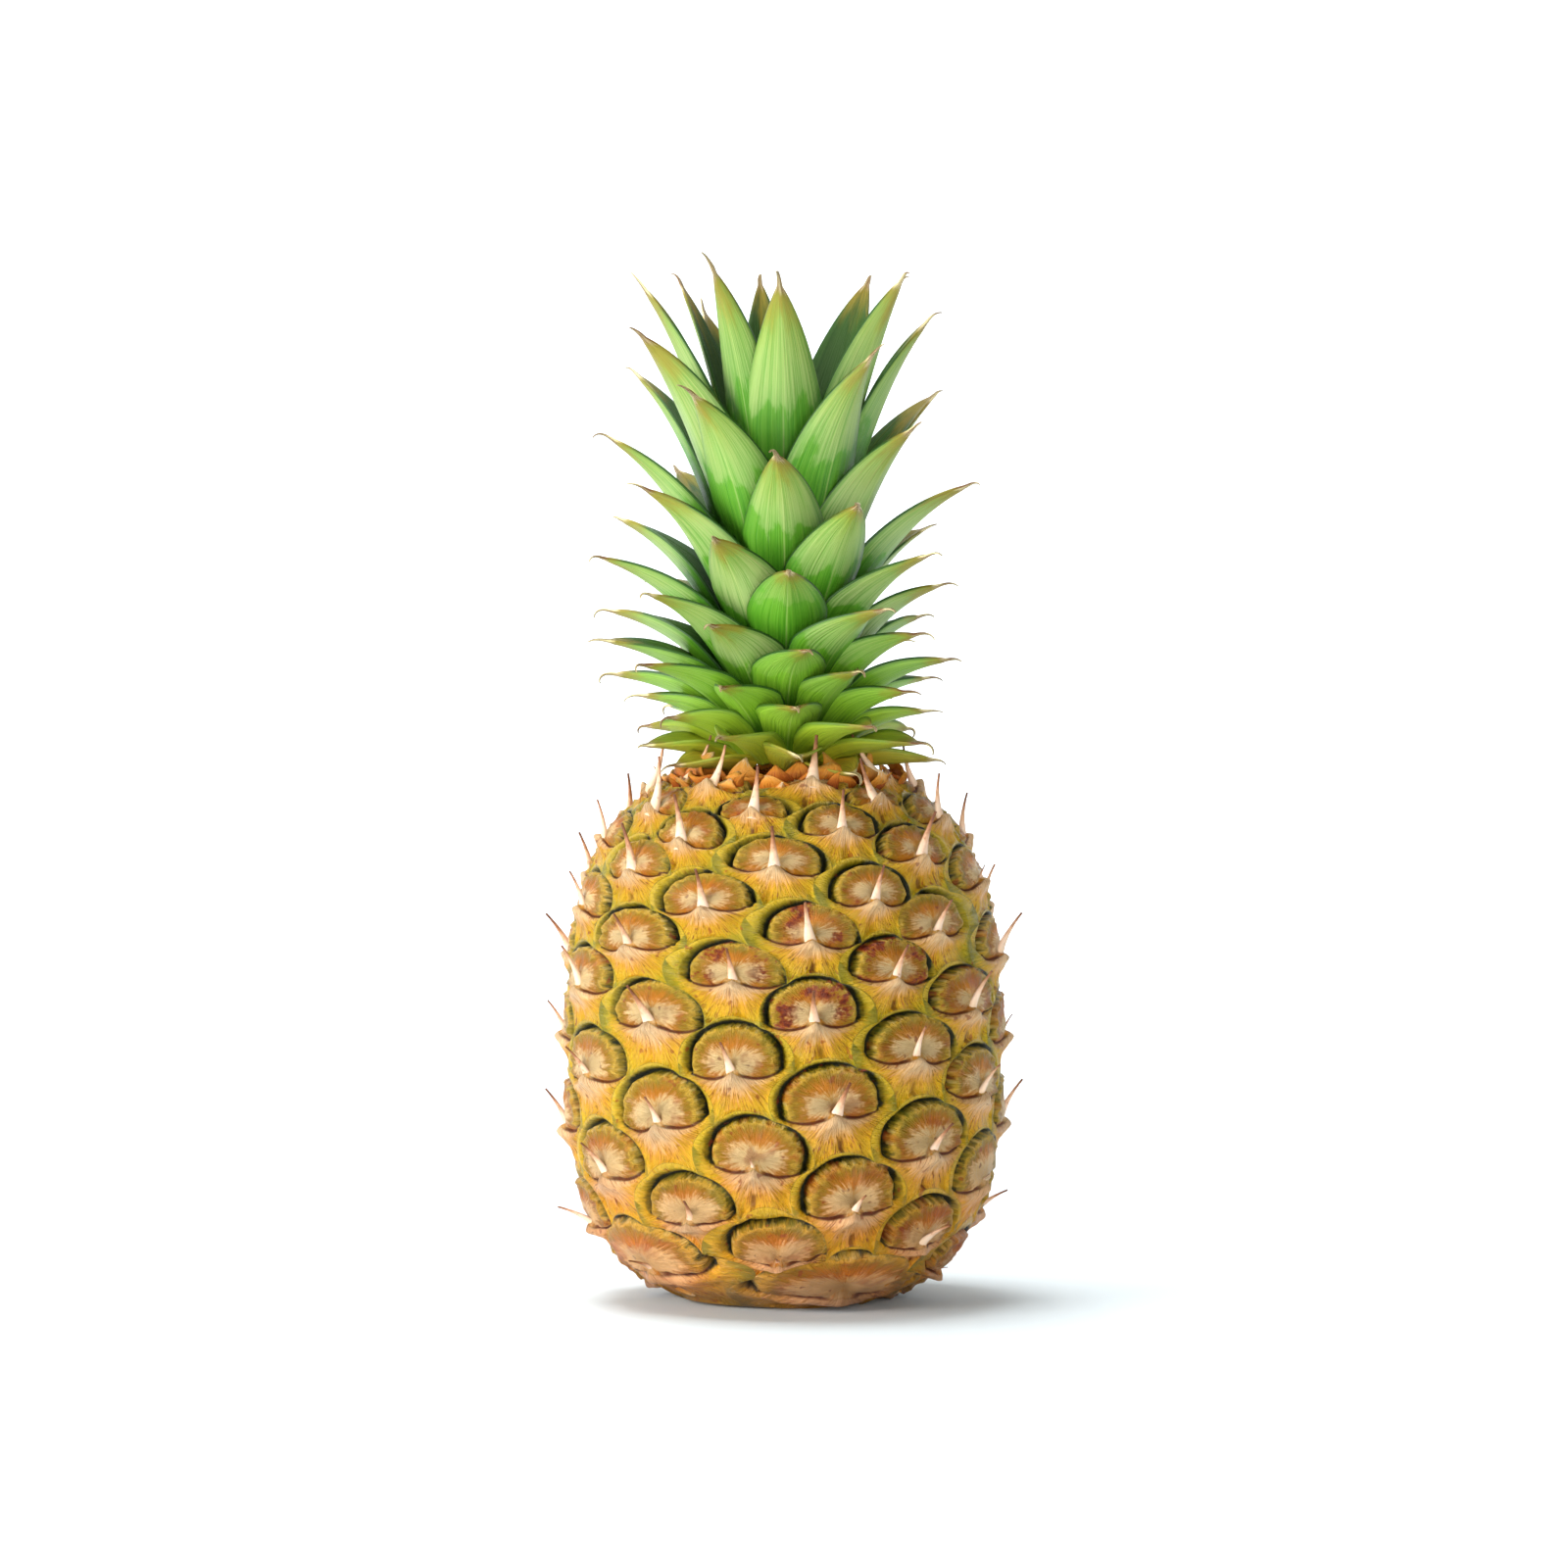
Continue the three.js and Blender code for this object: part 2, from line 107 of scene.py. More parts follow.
def add_sweep():
    half = SWEEP["width"] / 2
    bend = SWEEP["bend"]
    line = [(SWEEP["front"], 0.0), (SWEEP["back"] - bend, 0.0)]
    for step in range(1, 13):
        angle = step / 12 * math.pi / 2
        line.append((SWEEP["back"] - bend + bend * math.sin(angle), bend - bend * math.cos(angle)))
    line.append((SWEEP["back"], SWEEP["height"]))
    verts = [(x, y, z) for y, z in line for x in (-half, half)]
    faces = [(2 * i, 2 * i + 1, 2 * i + 3, 2 * i + 2) for i in range(len(line) - 1)]
    mesh = bpy.data.meshes.new("studio_sweep")
    mesh.from_pydata(verts, [], faces)
    mesh.polygons.foreach_set("use_smooth", [True] * len(faces))
    card = bpy.data.materials.new("studio_card")
    card.use_nodes = True
    shader = card.node_tree.nodes["Principled BSDF"]
    shader.inputs["Base Color"].default_value = CARD_SHADE
    shader.inputs["Roughness"].default_value = 0.9
    shader.inputs["Emission Strength"].default_value = 1
    place = card.node_tree.nodes.new("ShaderNodeTexCoord")
    split = card.node_tree.nodes.new("ShaderNodeSeparateXYZ")
    glow = card.node_tree.nodes.new("ShaderNodeMapRange")
    glow.interpolation_type = "SMOOTHSTEP"
    glow.inputs["From Min"].default_value = CARD_GLOW["from"]
    glow.inputs["From Max"].default_value = CARD_GLOW["to"]
    glow.inputs["To Max"].default_value = CARD_GLOW["strength"]
    card.node_tree.links.new(place.outputs["Object"], split.inputs[0])
    card.node_tree.links.new(split.outputs["Y"], glow.inputs["Value"])
    card.node_tree.links.new(glow.outputs[0], shader.inputs["Emission Color"])
    mesh.materials.append(card)
    sweep = bpy.data.objects.new("studio_sweep", mesh)
    bpy.context.scene.collection.objects.link(sweep)


world = bpy.data.worlds.new("studio")
world.use_nodes = True
world.node_tree.nodes["Background"].inputs["Color"].default_value = (1, 1, 1, 1)
world.node_tree.nodes["Background"].inputs["Strength"].default_value = SKY_LIGHT
bpy.context.scene.world = world
bpy.context.scene.view_settings.view_transform = "Standard"
add_camera()
for lamp_name, lamp in LAMPS.items():
    add_lamp(lamp_name, lamp)
add_sweep()


# Rind: the whole skin of the fruit, one closed sheet of about 90 eyes that grew into each other.
# Each eye is a low round disc over a star-shaped bract, with a furrow round it and a lip between
# the two. The eyes stand on one spiral, so the sheet is worked out eye by eye from that rule.
GIRTH_RADIUS = 55.9
GIRTH_HEIGHT = 66
LOWER_DEPTH = 67.5
UPPER_RISE = 74
LOWER_CURVE = (0.667, 0.8)
UPPER_CURVE = (0.714, 0.66)
SECTION_STEPS = 400
SEAT_HEIGHT = 136.4
EYE_TURN = math.radians(137.99)
EYE_START = math.radians(28)
EYE_AT_GIRTH = 34
EYE_LIFT = 2.6
RISE_BELOW = 1.84
RISE_ABOVE = 1.67
RISE_EASE = 0.0038
LOWEST_EYE = -2
HIGHEST_EYE = 90
ROW_SLOPE = 0.063
EYE_CROWDING = math.radians(6.8)
EYE_WANDER = (math.radians(1.5), 0.6)
STRAY_EYES = {36: (4, 2.5), 44: (4, 2), 52: (4, 1), 55: (-6, -1), 70: (-4, -2), 78: (-4, -2)}
EDGE_STEPS = 10
EDGE_BULGE = 0.13
INNER_RINGS = (0.06, 0.14, 0.22, 0.31, 0.4, 0.49, 0.58, 0.67, 0.75, 0.82, 0.88, 0.94, 1.0)
OUTER_RINGS = (0.12, 0.3, 0.62)
DISC = {"centre": 0.28, "half_width": 0.83, "half_height": 0.64, "rise": 2.8, "foot": 0.35}
LIP = {"level": 0.07, "dip": 0.17, "reach": 0.45}
EYE_TILT = 0.13
EDGE_LEVEL = 1.7
SOCKET = {"radius": 13.3, "depth": 6.3}
BRUISED_EYES = {39: 0.93, 44: 0.95, 47: 0.97, 52: 0.99}
RIND_TINT = (1.0, 0.82, 0.5, 1)


def seeded_draw(seed):
    """The same draw as the solids use, so that the eyes and leaves fall where theirs do."""
    state = seed
    while True:
        state = (state * 1664525 + 1013904223) % 4294967296
        yield state / 4294967296


def mix(low, high, share):
    return low + (high - low) * share


def smooth_step(low, high, value):
    share = np.clip((value - low) / (high - low), 0, 1)
    return share * share * (3 - 2 * share)


def hump(value, centre, width):
    return np.exp(-((value - centre) / width) ** 2)


def body_section():
    """Radius, height, distance walked and distance in radii, for points up the bare body."""
    angle = (np.arange(SECTION_STEPS + 1) / SECTION_STEPS - 0.5) * math.pi
    lower = angle < 0
    sine = np.abs(np.sin(angle))
    cosine = np.clip(np.cos(angle), 0, None)
    height = np.where(lower, GIRTH_HEIGHT - LOWER_DEPTH * sine ** LOWER_CURVE[0],
                      GIRTH_HEIGHT + UPPER_RISE * sine ** UPPER_CURVE[0])
    radius = GIRTH_RADIUS * np.where(lower, cosine ** LOWER_CURVE[1], cosine ** UPPER_CURVE[1])
    steps = np.hypot(np.diff(radius), np.diff(height))
    along = np.concatenate([[0], np.cumsum(steps)])
    mean_radius = np.maximum(0.5 * (radius[1:] + radius[:-1]), 0.01)
    radii = np.concatenate([[0], np.cumsum(steps / mean_radius)])
    return radius, height, along, radii - radii[SECTION_STEPS // 2]


SECTION = body_section()
SECTION_LENGTH = SECTION[2][-1]
GIRTH_ALONG = SECTION[2][SECTION_STEPS // 2]


def radius_at(along):
    return np.interp(along, SECTION[2], SECTION[0])


def at_azimuth(radius, azimuth, height):
    return np.stack([radius * np.sin(azimuth), -radius * np.cos(azimuth), height + 0 * azimuth], -1)


def unit(vectors):
    return vectors / np.linalg.norm(vectors, axis=-1, keepdims=True)


def on_body(along, azimuth):
    """Places on the bare body, with their upward and outward directions."""
    along = np.asarray(along, float)
    azimuth = np.asarray(azimuth, float)
    radial = radius_at(along + 1) - radius_at(along - 1)
    rise = np.interp(along + 1, SECTION[2], SECTION[1]) - np.interp(along - 1, SECTION[2], SECTION[1])
    place = at_azimuth(radius_at(along), azimuth, np.interp(along, SECTION[2], SECTION[1]))
    return place, unit(at_azimuth(radial, azimuth, rise)), unit(at_azimuth(rise, azimuth, -radial))


def turn_between(start, end):
    return (end - start + math.pi) % (2 * math.pi) - math.pi


def eye_along(index):
    along = GIRTH_ALONG + EYE_LIFT
    above = index - EYE_AT_GIRTH
    if above >= 0:
        return along + RISE_ABOVE * above - RISE_EASE * above ** 2
    for _ in range(EYE_AT_GIRTH - index):
        along -= RISE_BELOW * GIRTH_RADIUS / max(radius_at(along), 1)
    return along


def eye_spiral():
    draw = seeded_draw(7)
    eyes = []
    for index in range(LOWEST_EYE, HIGHEST_EYE + 1):
        stray, lift = STRAY_EYES.get(index, (0, 0))
        turned = EYE_START + EYE_TURN * index + EYE_WANDER[0] * (2 * next(draw) - 1)
        azimuth = turned - EYE_CROWDING * math.sin(turned) + math.radians(stray)
        level = eye_along(index) + EYE_WANDER[1] * (2 * next(draw) - 1) + lift
        sideways = radius_at(level) * math.sin(azimuth)
        eyes.append({"index": index, "azimuth": azimuth, "along": level - ROW_SLOPE * sideways})
    return eyes


def eye_corners(eyes):
    """Where three eyes meet: the faces of the hull of their middles, mapped evenly onto a ball."""
    along = np.array([eye["along"] for eye in eyes] + [0, SECTION_LENGTH])
    azimuth = np.array([eye["azimuth"] for eye in eyes] + [0, 0])
    radii = np.interp(along, SECTION[2], SECTION[3])
    points = at_azimuth(1 / np.cosh(radii), azimuth, np.tanh(radii))
    shape = bmesh.new()
    for point in points:
        shape.verts.new(point)
    shape.verts.index_update()
    hull = bmesh.ops.convex_hull(shape, input=shape.verts[:], use_existing_faces=False)
    corners = []
    for face in [part for part in hull["geom"] if isinstance(part, bmesh.types.BMFace)]:
        owners = [vert.index for vert in face.verts]
        middle = points[owners].sum(0)
        corners.append({
            "owners": owners,
            "along": along[owners].mean(),
            "azimuth": math.atan2(middle[0], -middle[1]),
        })
    shape.free()
    return corners


def corners_round(owner, eye, corners):
    """The numbers of an eye's corners, counter-clockwise as seen from outside."""
    def bearing(number):
        corner = corners[number]
        if "pole" in eye:
            return eye["pole"] * corner["azimuth"]
        across = turn_between(eye["azimuth"], corner["azimuth"]) * radius_at(eye["along"])
        return math.atan2(corner["along"] - eye["along"], across)
    own = [number for number, corner in enumerate(corners) if owner in corner["owners"]]
    return sorted(own, key=bearing)


def lip_line(across):
    """The lip between disc and bract: two shallow bows that rise to the bract's wing tips."""
    return LIP["level"] - LIP["dip"] * (1 - (np.abs(across) / LIP["reach"] - 1) ** 2)


def disc_reach(across, up):
    """0 at the middle of an eye's disc and 1 on its outline, an arch with nearly upright sides."""
    raised = (up - DISC["centre"]) / DISC["half_height"]
    return np.hypot(across / DISC["half_width"], np.maximum(raised, DISC["foot"] * raised))


def disc_edge(spots):
    """The share of the way out to each edge spot at which the disc's outline is crossed."""
    shares = np.linspace(0.5, 0.95, 46)
    reach = disc_reach(spots[:, :1] * shares, spots[:, 1:] * shares)
    return np.array([np.interp(1, row, shares) for row in reach])


def eye_relief(across, up, fraction, kind):
    """How far the rind stands out at a spot of an eye, in mm."""
    over = up - lip_line(across)
    side = np.abs(across)
    disc = disc_reach(across, up)
    bearing = np.arctan2(up - DISC["centre"], across)
    dome = DISC["rise"] * (1 - 0.4 * disc ** 2) * (1 - smooth_step(0.9, 1.01, disc))
    dome += 0.8 * np.abs(np.sin(6 * bearing + 9 * kind)) ** 1.5 * hump(disc, 0.86, 0.1)
    dome += 0.2 * np.sin(19 * bearing + 20 * kind) * smooth_step(0.2, 0.5, disc) * (disc < 0.9)
    ripple = np.sin(9 * across + 40 * kind) * np.sin(8 * up + 25 * kind)
    dome += 0.35 * ripple * (1 - smooth_step(0.6, 0.9, disc))
    dome -= 0.9 * hump(across, 0.1 * (kind - 0.5), 0.07) * hump(up, 0.12, 0.25)
    dome -= 1.8 * hump(disc, 1.04, 0.07)
    dome += 1.7 * smooth_step(1.04, 1.16, disc)
    reach = np.hypot(across, up)
    fan = np.arctan2(up - 0.15, across)
    bract = 0.8 + 2.1 * hump(reach, 0, 0.42) + 1.0 * hump(reach, 0, 0.15)
    bract += 1.5 * hump(over, -0.13, 0.12) * (1 - 0.25 * side)
    bract += 0.28 * np.sin(13 * fan + 5 * kind) * smooth_step(0.15, 0.45, reach)
    bract += 0.6 * hump(np.abs(across) - 0.3, 0, 0.13) * hump(up, -0.55, 0.2)
    bract -= 1.3 * hump(across, 0.2 * (kind - 0.5), 0.055) * hump(up, -0.6, 0.2)
    height = mix(bract, dome, smooth_step(-0.02, 0.05, over))
    slit = hump(over, 0.03, 0.045) * smooth_step(0.1, 0.28, side)
    height -= 1.4 * slit * (1 - smooth_step(0.8, 0.94, side))
    return mix(EDGE_LEVEL, height, smooth_step(0, 0.12, 1 - fraction))


class Rind:
    """Gathers the sheet's points and faces, with the spot of its eye that each corner has."""

    def __init__(self, eyes):
        self.eyes = eyes
        self.corners = eye_corners(eyes)
        self.points = []
        self.faces = []
        self.spots = []
        self.cells = []
        self.shared = {}

    def add(self, points):
        first = sum(len(block) for block in self.points)
        self.points.append(points)
        return first + np.arange(len(points))

    def edge_between(self, start, end):
        """Points along the edge of two eyes, shared by both, bowed towards the upper one."""
        key = (min(start, end), max(start, end))
        if key not in self.shared:
            low, high = (self.corners[number] for number in key)
            share = np.arange(EDGE_STEPS + 1) / EDGE_STEPS
            turn = turn_between(low["azimuth"], high["azimuth"])
            along = mix(low["along"], high["along"], share)
            azimuth = low["azimuth"] + turn * share
            owners = set(low["owners"]) & set(high["owners"])
            both = sorted((o for o in owners if o < len(self.eyes)), key=lambda o: self.eyes[o]["along"])
            if len(both) == 2:
                lower, upper = (self.eyes[o] for o in both)
                bow = EDGE_BULGE * 4 * share * (1 - share)
                along = along + bow * (upper["along"] - lower["along"])
                azimuth = azimuth + bow * turn_between(lower["azimuth"], upper["azimuth"])
            place, _, outward = on_body(along, azimuth)
            place = place + outward * EDGE_LEVEL
            numbers = np.empty(EDGE_STEPS + 1, int)
            numbers[1:-1] = self.add(place[1:-1])
            for end_number, spot in ((0, key[0]), (-1, key[1])):
                if spot not in self.shared:
                    self.shared[spot] = self.add(place[[end_number]])[0]
                numbers[end_number] = self.shared[spot]
            self.shared[key] = (numbers, along, azimuth)
        numbers, along, azimuth = self.shared[key]
        if start > end:
            return numbers[::-1], along[::-1], azimuth[::-1]
        return numbers, along, azimuth

    def edge_round(self, owner, eye):
        ring = corners_round(owner, eye, self.corners)
        parts = [self.edge_between(a, b) for a, b in zip(ring, ring[1:] + ring[:1])]
        return [np.concatenate([part[i][:-1] for part in parts]) for i in range(3)]

    def stitch(self, outer, inner, spots, kinds):
        count = len(outer)
        for i in range(count):
            j = (i + 1) % count
            quad = (outer[i], outer[j], inner[j], inner[i])
            rows = ((0, i), (0, j), (1, j), (1, i))
            if inner[i] == inner[j]:
                quad, rows = quad[:3], rows[:3]
            self.faces.append(quad)
            self.spots.extend(spots[row][column] for row, column in rows)
            self.cells.extend(kinds[row] for row, _ in rows)

    def grow_eye(self, owner, eye):
        outer, along, azimuth = self.edge_round(owner, eye)
        turn = turn_between(eye["azimuth"], azimuth)
        rise = along - eye["along"]
        across = turn * radius_at(eye["along"])
        half_width = 0.47 * (across.max() - across.min())
        half_height = 0.5 * (rise.max() - rise.min())
        edge_spot = np.stack([across / half_width, rise / half_height], -1)
        middle = 0.5 * (rise.max() + rise.min()) / half_height
        edge_spot[:, 1] -= 0.5 * middle
        tilt = EYE_TILT * math.sin(40 * eye["kind"])
        lean = np.array([[math.cos(tilt), math.sin(tilt)], [-math.sin(tilt), math.cos(tilt)]])
        edge_spot = edge_spot @ lean
        rim = disc_edge(edge_spot)
        steps = [mix(rim, 1, share) for share in OUTER_RINGS[::-1]]
        steps += [rim * share for share in INNER_RINGS[::-1]]
        spots, fraction = edge_spot, 1.0
        for step in steps:
            spot = edge_spot * step[:, None]
            relief = eye_relief(spot[:, 0], spot[:, 1], step, eye["kind"])
            place, _, outward = on_body(eye["along"] + rise * step, eye["azimuth"] + turn * step)
            inner = self.add(place + outward * relief[:, None])
            kinds = ((fraction, eye["kind"]), (step.mean(), eye["kind"]))
            self.stitch(outer, inner, (spots, spot), kinds)
            outer, spots, fraction = inner, spot, step.mean()
        place, _, outward = on_body(eye["along"], eye["azimuth"])
        relief = eye_relief(0.0, 0.0, 0.0, eye["kind"])
        centre = np.repeat(self.add((place + outward * relief)[None])[0], len(outer))
        kinds = ((fraction, eye["kind"]), (0.0, eye["kind"]))
        self.stitch(outer, centre, (spots, np.zeros_like(spots)), kinds)

    def close_end(self, owner, pole, rims):
        """Closes an end of the body by round rims, and a centre point on the last one."""
        outer, _, azimuth = self.edge_round(owner, {"pole": pole})
        flat = np.tile([0.0, -0.9], (len(outer), 1))
        kinds = ((0.97, 0.5), (0.97, 0.5))
        for radius, height in rims:
            inner = self.add(at_azimuth(radius, azimuth, height))
            self.stitch(outer, inner, (flat, flat), kinds)
            outer = inner
        centre = np.repeat(self.add(np.array([[0, 0, rims[-1][1]]], float))[0], len(outer))
        self.stitch(outer, centre, (flat, flat), kinds)


def mesh_piece(name, points, faces, material, layers):
    """A smooth mesh piece from points in mm, with its UV layers given corner by corner."""
    mesh = bpy.data.meshes.new(name)
    mesh.from_pydata((np.asarray(points) * MM).tolist(), [], [tuple(map(int, f)) for f in faces])
    mesh.polygons.foreach_set("use_smooth", [True] * len(mesh.polygons))
    for layer, values in layers.items():
        uv = mesh.uv_layers.new(name=layer)
        uv.data.foreach_set("uv", np.asarray(values, np.float32).ravel())
    mesh.materials.append(material)
    piece = bpy.data.objects.new(name, mesh)
    bpy.context.scene.collection.objects.link(piece)
    return piece


def grow_rind(material):
    kind_draw = np.random.default_rng(5)
    eyes = eye_spiral()
    for eye in eyes:
        eye["kind"] = round(float(kind_draw.uniform(0.05, 0.85)), 3)
        eye["kind"] = BRUISED_EYES.get(eye["index"], eye["kind"])
    rind = Rind(eyes)
    for owner, eye in enumerate(eyes):
        rind.grow_eye(owner, eye)
    base = [(22, 0.0), (SOCKET["radius"], 0.0), (SOCKET["radius"], SOCKET["depth"])]
    rind.close_end(len(eyes), -1, base)
    rind.close_end(len(eyes) + 1, 1, [(25, SEAT_HEIGHT)])
    points = np.concatenate(rind.points)
    points[:, 2] = np.maximum(points[:, 2], 0)
    inside = np.hypot(points[:, 0], points[:, 1]) < 29
    points[:, 2] = np.where(inside, np.minimum(points[:, 2], SEAT_HEIGHT), points[:, 2])
    layers = {"eye": rind.spots, "cell": rind.cells}
    return eyes, mesh_piece("rind", points, rind.faces, material, layers)


class Socket:
    """An output of a shader node. Python's operators on it add Math nodes."""

    def __init__(self, finish, output):
        self.finish = finish
        self.output = output

    def __add__(self, other):
        return self.finish.math("ADD", self, other)

    def __sub__(self, other):
        return self.finish.math("SUBTRACT", self, other)

    def __rsub__(self, other):
        return self.finish.math("SUBTRACT", other, self)

    def __mul__(self, other):
        return self.finish.math("MULTIPLY", self, other)

    def __truediv__(self, other):
        return self.finish.math("DIVIDE", self, other)

    def __pow__(self, other):
        return self.finish.math("POWER", self, other)

    def __abs__(self):
        return self.finish.math("ABSOLUTE", self)

    __radd__ = __add__
    __rmul__ = __mul__


class Finish:
    """One material, with its nodes added in the order in which its colours are worked out."""

    def __init__(self, name, roughness=0.5, specular=0.5):
        self.material = bpy.data.materials.new(name)
        self.material.use_nodes = True
        self.tree = self.material.node_tree
        self.shader = self.tree.nodes["Principled BSDF"]
        self.shader.inputs["Roughness"].default_value = roughness
        self.shader.inputs["Specular IOR Level"].default_value = specular

    def node(self, kind, settings, inputs):
        """A node with its settings made first, then its sockets set or linked by place."""
        made = self.tree.nodes.new(kind)
        for name, value in settings.items():
            setattr(made, name, value)
        for place, value in inputs.items():
            socket = made.inputs[place]
            if isinstance(value, Socket):
                self.tree.links.new(value.output, socket)
            else:
                socket.default_value = value
        return made

    def math(self, operation, *values):
        made = self.node("ShaderNodeMath", {"operation": operation}, dict(enumerate(values)))
        return Socket(self, made.outputs[0])

    def uv(self, layer):
        made = self.node("ShaderNodeUVMap", {"uv_map": layer}, {})
        split = self.node("ShaderNodeSeparateXYZ", {}, {0: Socket(self, made.outputs[0])})
        return Socket(self, split.outputs[0]), Socket(self, split.outputs[1])

    def attribute(self, name):
        made = self.node("ShaderNodeAttribute", {"attribute_name": name}, {})
        return Socket(self, made.outputs["Fac"])

    def place(self):
        made = self.node("ShaderNodeTexCoord", {}, {})
        return Socket(self, made.outputs["Object"])

    def split(self, vector):
        made = self.node("ShaderNodeSeparateXYZ", {}, {0: vector})
        return [Socket(self, output) for output in made.outputs]

    def vector(self, x, y, z):
        made = self.node("ShaderNodeCombineXYZ", {}, {0: x, 1: y, 2: z})
        return Socket(self, made.outputs[0])

    def noise(self, vector, scale, detail=3.0, roughness=0.55):
        sockets = {"Vector": vector, "Scale": scale, "Detail": detail, "Roughness": roughness}
        made = self.node("ShaderNodeTexNoise", {}, sockets)
        return Socket(self, made.outputs["Fac"])

    def step(self, value, low, high):
        """0 below low, 1 above high, smooth between; low may be the larger of the two."""
        sockets = {"Value": value, "From Min": low, "From Max": high}
        if low > high:
            sockets = {"Value": value, "From Min": high, "From Max": low, "To Min": 1.0, "To Max": 0.0}
        made = self.node("ShaderNodeMapRange", {"interpolation_type": "SMOOTHSTEP"}, sockets)
        return Socket(self, made.outputs[0])

    def blend(self, share, low, high, way="MIX"):
        settings = {"data_type": "RGBA", "blend_type": way, "clamp_factor": True}
        made = self.node("ShaderNodeMix", settings, {0: share, 6: low, 7: high})
        return Socket(self, made.outputs[2])

    def tint(self, colour, share, code):
        """The colour with a share of another one, written in hexadecimal, over it."""
        return self.blend(share, colour, paint(code))

    def ramp(self, value, stops):
        made = self.node("ShaderNodeValToRGB", {}, {0: value})
        band = made.color_ramp
        while len(band.elements) < len(stops):
            band.elements.new(0.5)
        for element, (position, colour) in zip(band.elements, stops):
            element.position = position
        for element, (position, colour) in zip(band.elements, stops):
            element.color = paint(colour)
        return Socket(self, made.outputs[0])

    def done(self, colour, roughness=None, relief=None, relief_depth=0.3):
        self.tree.links.new(colour.output, self.shader.inputs["Base Color"])
        if roughness is not None:
            self.tree.links.new(roughness.output, self.shader.inputs["Roughness"])
        if relief is not None:
            sockets = {"Height": relief, "Distance": relief_depth * MM, "Strength": 1.0}
            bump = self.node("ShaderNodeBump", {}, sockets)
            self.tree.links.new(bump.outputs[0], self.shader.inputs["Normal"])
        return self.material


class EyeFields:
    """Where a spot of the rind lies on its eye, and the noises that the eye's colours share."""

    def __init__(self, finish):
        self.across, self.up = finish.uv("eye")
        self.fraction, self.kind = finish.uv("cell")
        self.place = finish.place()
        self.side = abs(self.across)
        self.over = self.up - LIP["level"] + LIP["dip"] * (1 - (self.side / LIP["reach"] - 1) ** 2)
        raised = (self.up - DISC["centre"]) / DISC["half_height"]
        raised = finish.math("MAXIMUM", raised, raised * DISC["foot"])
        self.disc = finish.math("SQRT", (self.across / DISC["half_width"]) ** 2 + raised * raised)
        self.bearing = finish.math("ARCTAN2", self.up - DISC["centre"], self.across)
        self.reach = finish.math("SQRT", self.across * self.across * 0.8 + self.up * self.up)
        fan = finish.math("ARCTAN2", self.up - 0.2, self.across)
        spread = self.vector_of(finish, self.bearing * 2.6, self.disc * 0.7, 31)
        self.streak = finish.noise(spread, 3.4, 4)
        self.cloud = finish.noise(self.place, 110, 3)
        self.patch = finish.noise(self.vector_of(finish, self.across, self.up, 57), 2.2, 3)
        self.whim = finish.noise(finish.vector(self.kind * 91, 0, 0), 3.0, 0)
        fine = self.vector_of(finish, self.across * 1.3, self.up * 1.3, 71)
        self.grain = finish.noise(fine, 9, 4, 0.65)
        self.fibre = finish.noise(self.vector_of(finish, fan * 6, self.reach * 1.1, 23), 3.2, 4, 0.65)
        self.thread = finish.noise(self.vector_of(finish, fan * 17, self.reach * 0.8, 13), 3.0, 3, 0.6)
        self.height = finish.split(self.place)[2]
        self.low = finish.step(self.height + (self.cloud - 0.5) * 0.03, 0.12, 0.02)
        self.above = finish.step(self.over, -0.015, 0.02)

    def vector_of(self, finish, x, y, spacing):
        """A spot for a noise, moved on from eye to eye so that no two eyes look alike."""
        return finish.vector(x, y, self.kind * spacing)


def disc_paint(finish, eye):
    """An eye's disc: ochre with two cream lobes, an olive rim and, on a few eyes, a bruise."""
    disc, patch = eye.disc, eye.patch
    grain, whim = eye.grain - 0.5, eye.whim - 0.5
    tone = disc + (eye.streak - 0.5) * 0.5 * finish.step(disc, 1.0, 0.75) + grain * 0.3
    # The ramp's last stops darken the disc's outline to near-black green, painted shade where the dome
    # drops into its furrow.
    colour = finish.ramp(tone, [
        (0.0, "F6CE84"), (0.2, "ECAE3C"), (0.4, "D88E18"), (0.58, "BE8410"),
        (0.76, "A68A14"), (0.88, "D2B648"), (0.95, "8C8220"), (1.0, "20280A")])
    lobe = finish.math("SQRT", (eye.side - 0.22) ** 2 * 7 + (eye.up - 0.24) ** 2 * 9)
    cream = lobe + (eye.streak - 0.5) * 1.3 + grain * 0.9 + whim * 0.9 - eye.low * 0.25
    colour = finish.tint(colour, finish.step(cream, 0.82, 0.2) * 0.9, "FFEFD2")
    # The pale tint on the rim teeth is painted highlight on their crests, laid over their bump relief.
    colour = finish.tint(colour, finish.step(eye.teeth, 0.2, 0.8) * 0.6, "D8C988")
    colour = finish.tint(colour, finish.step(patch + whim * 0.5, 0.55, 0.68) * 0.45, "B8500C")
    green = finish.step(patch + whim * 0.3, 0.44, 0.32) * finish.step(disc, 0.5, 0.85)
    colour = finish.tint(colour, green * 0.45, "76800E")
    bruised = finish.step(eye.kind, 0.9, 0.93) * finish.step(disc, 0.25, 0.6)
    bruise = bruised * finish.step(patch + grain * 0.5, 0.52, 0.62)
    colour = finish.tint(colour, bruise * 0.85, "9E3A16")
    core = bruised * finish.step(patch + grain * 0.6, 0.6, 0.7)
    return finish.tint(colour, core * 0.8, "5C1A10")


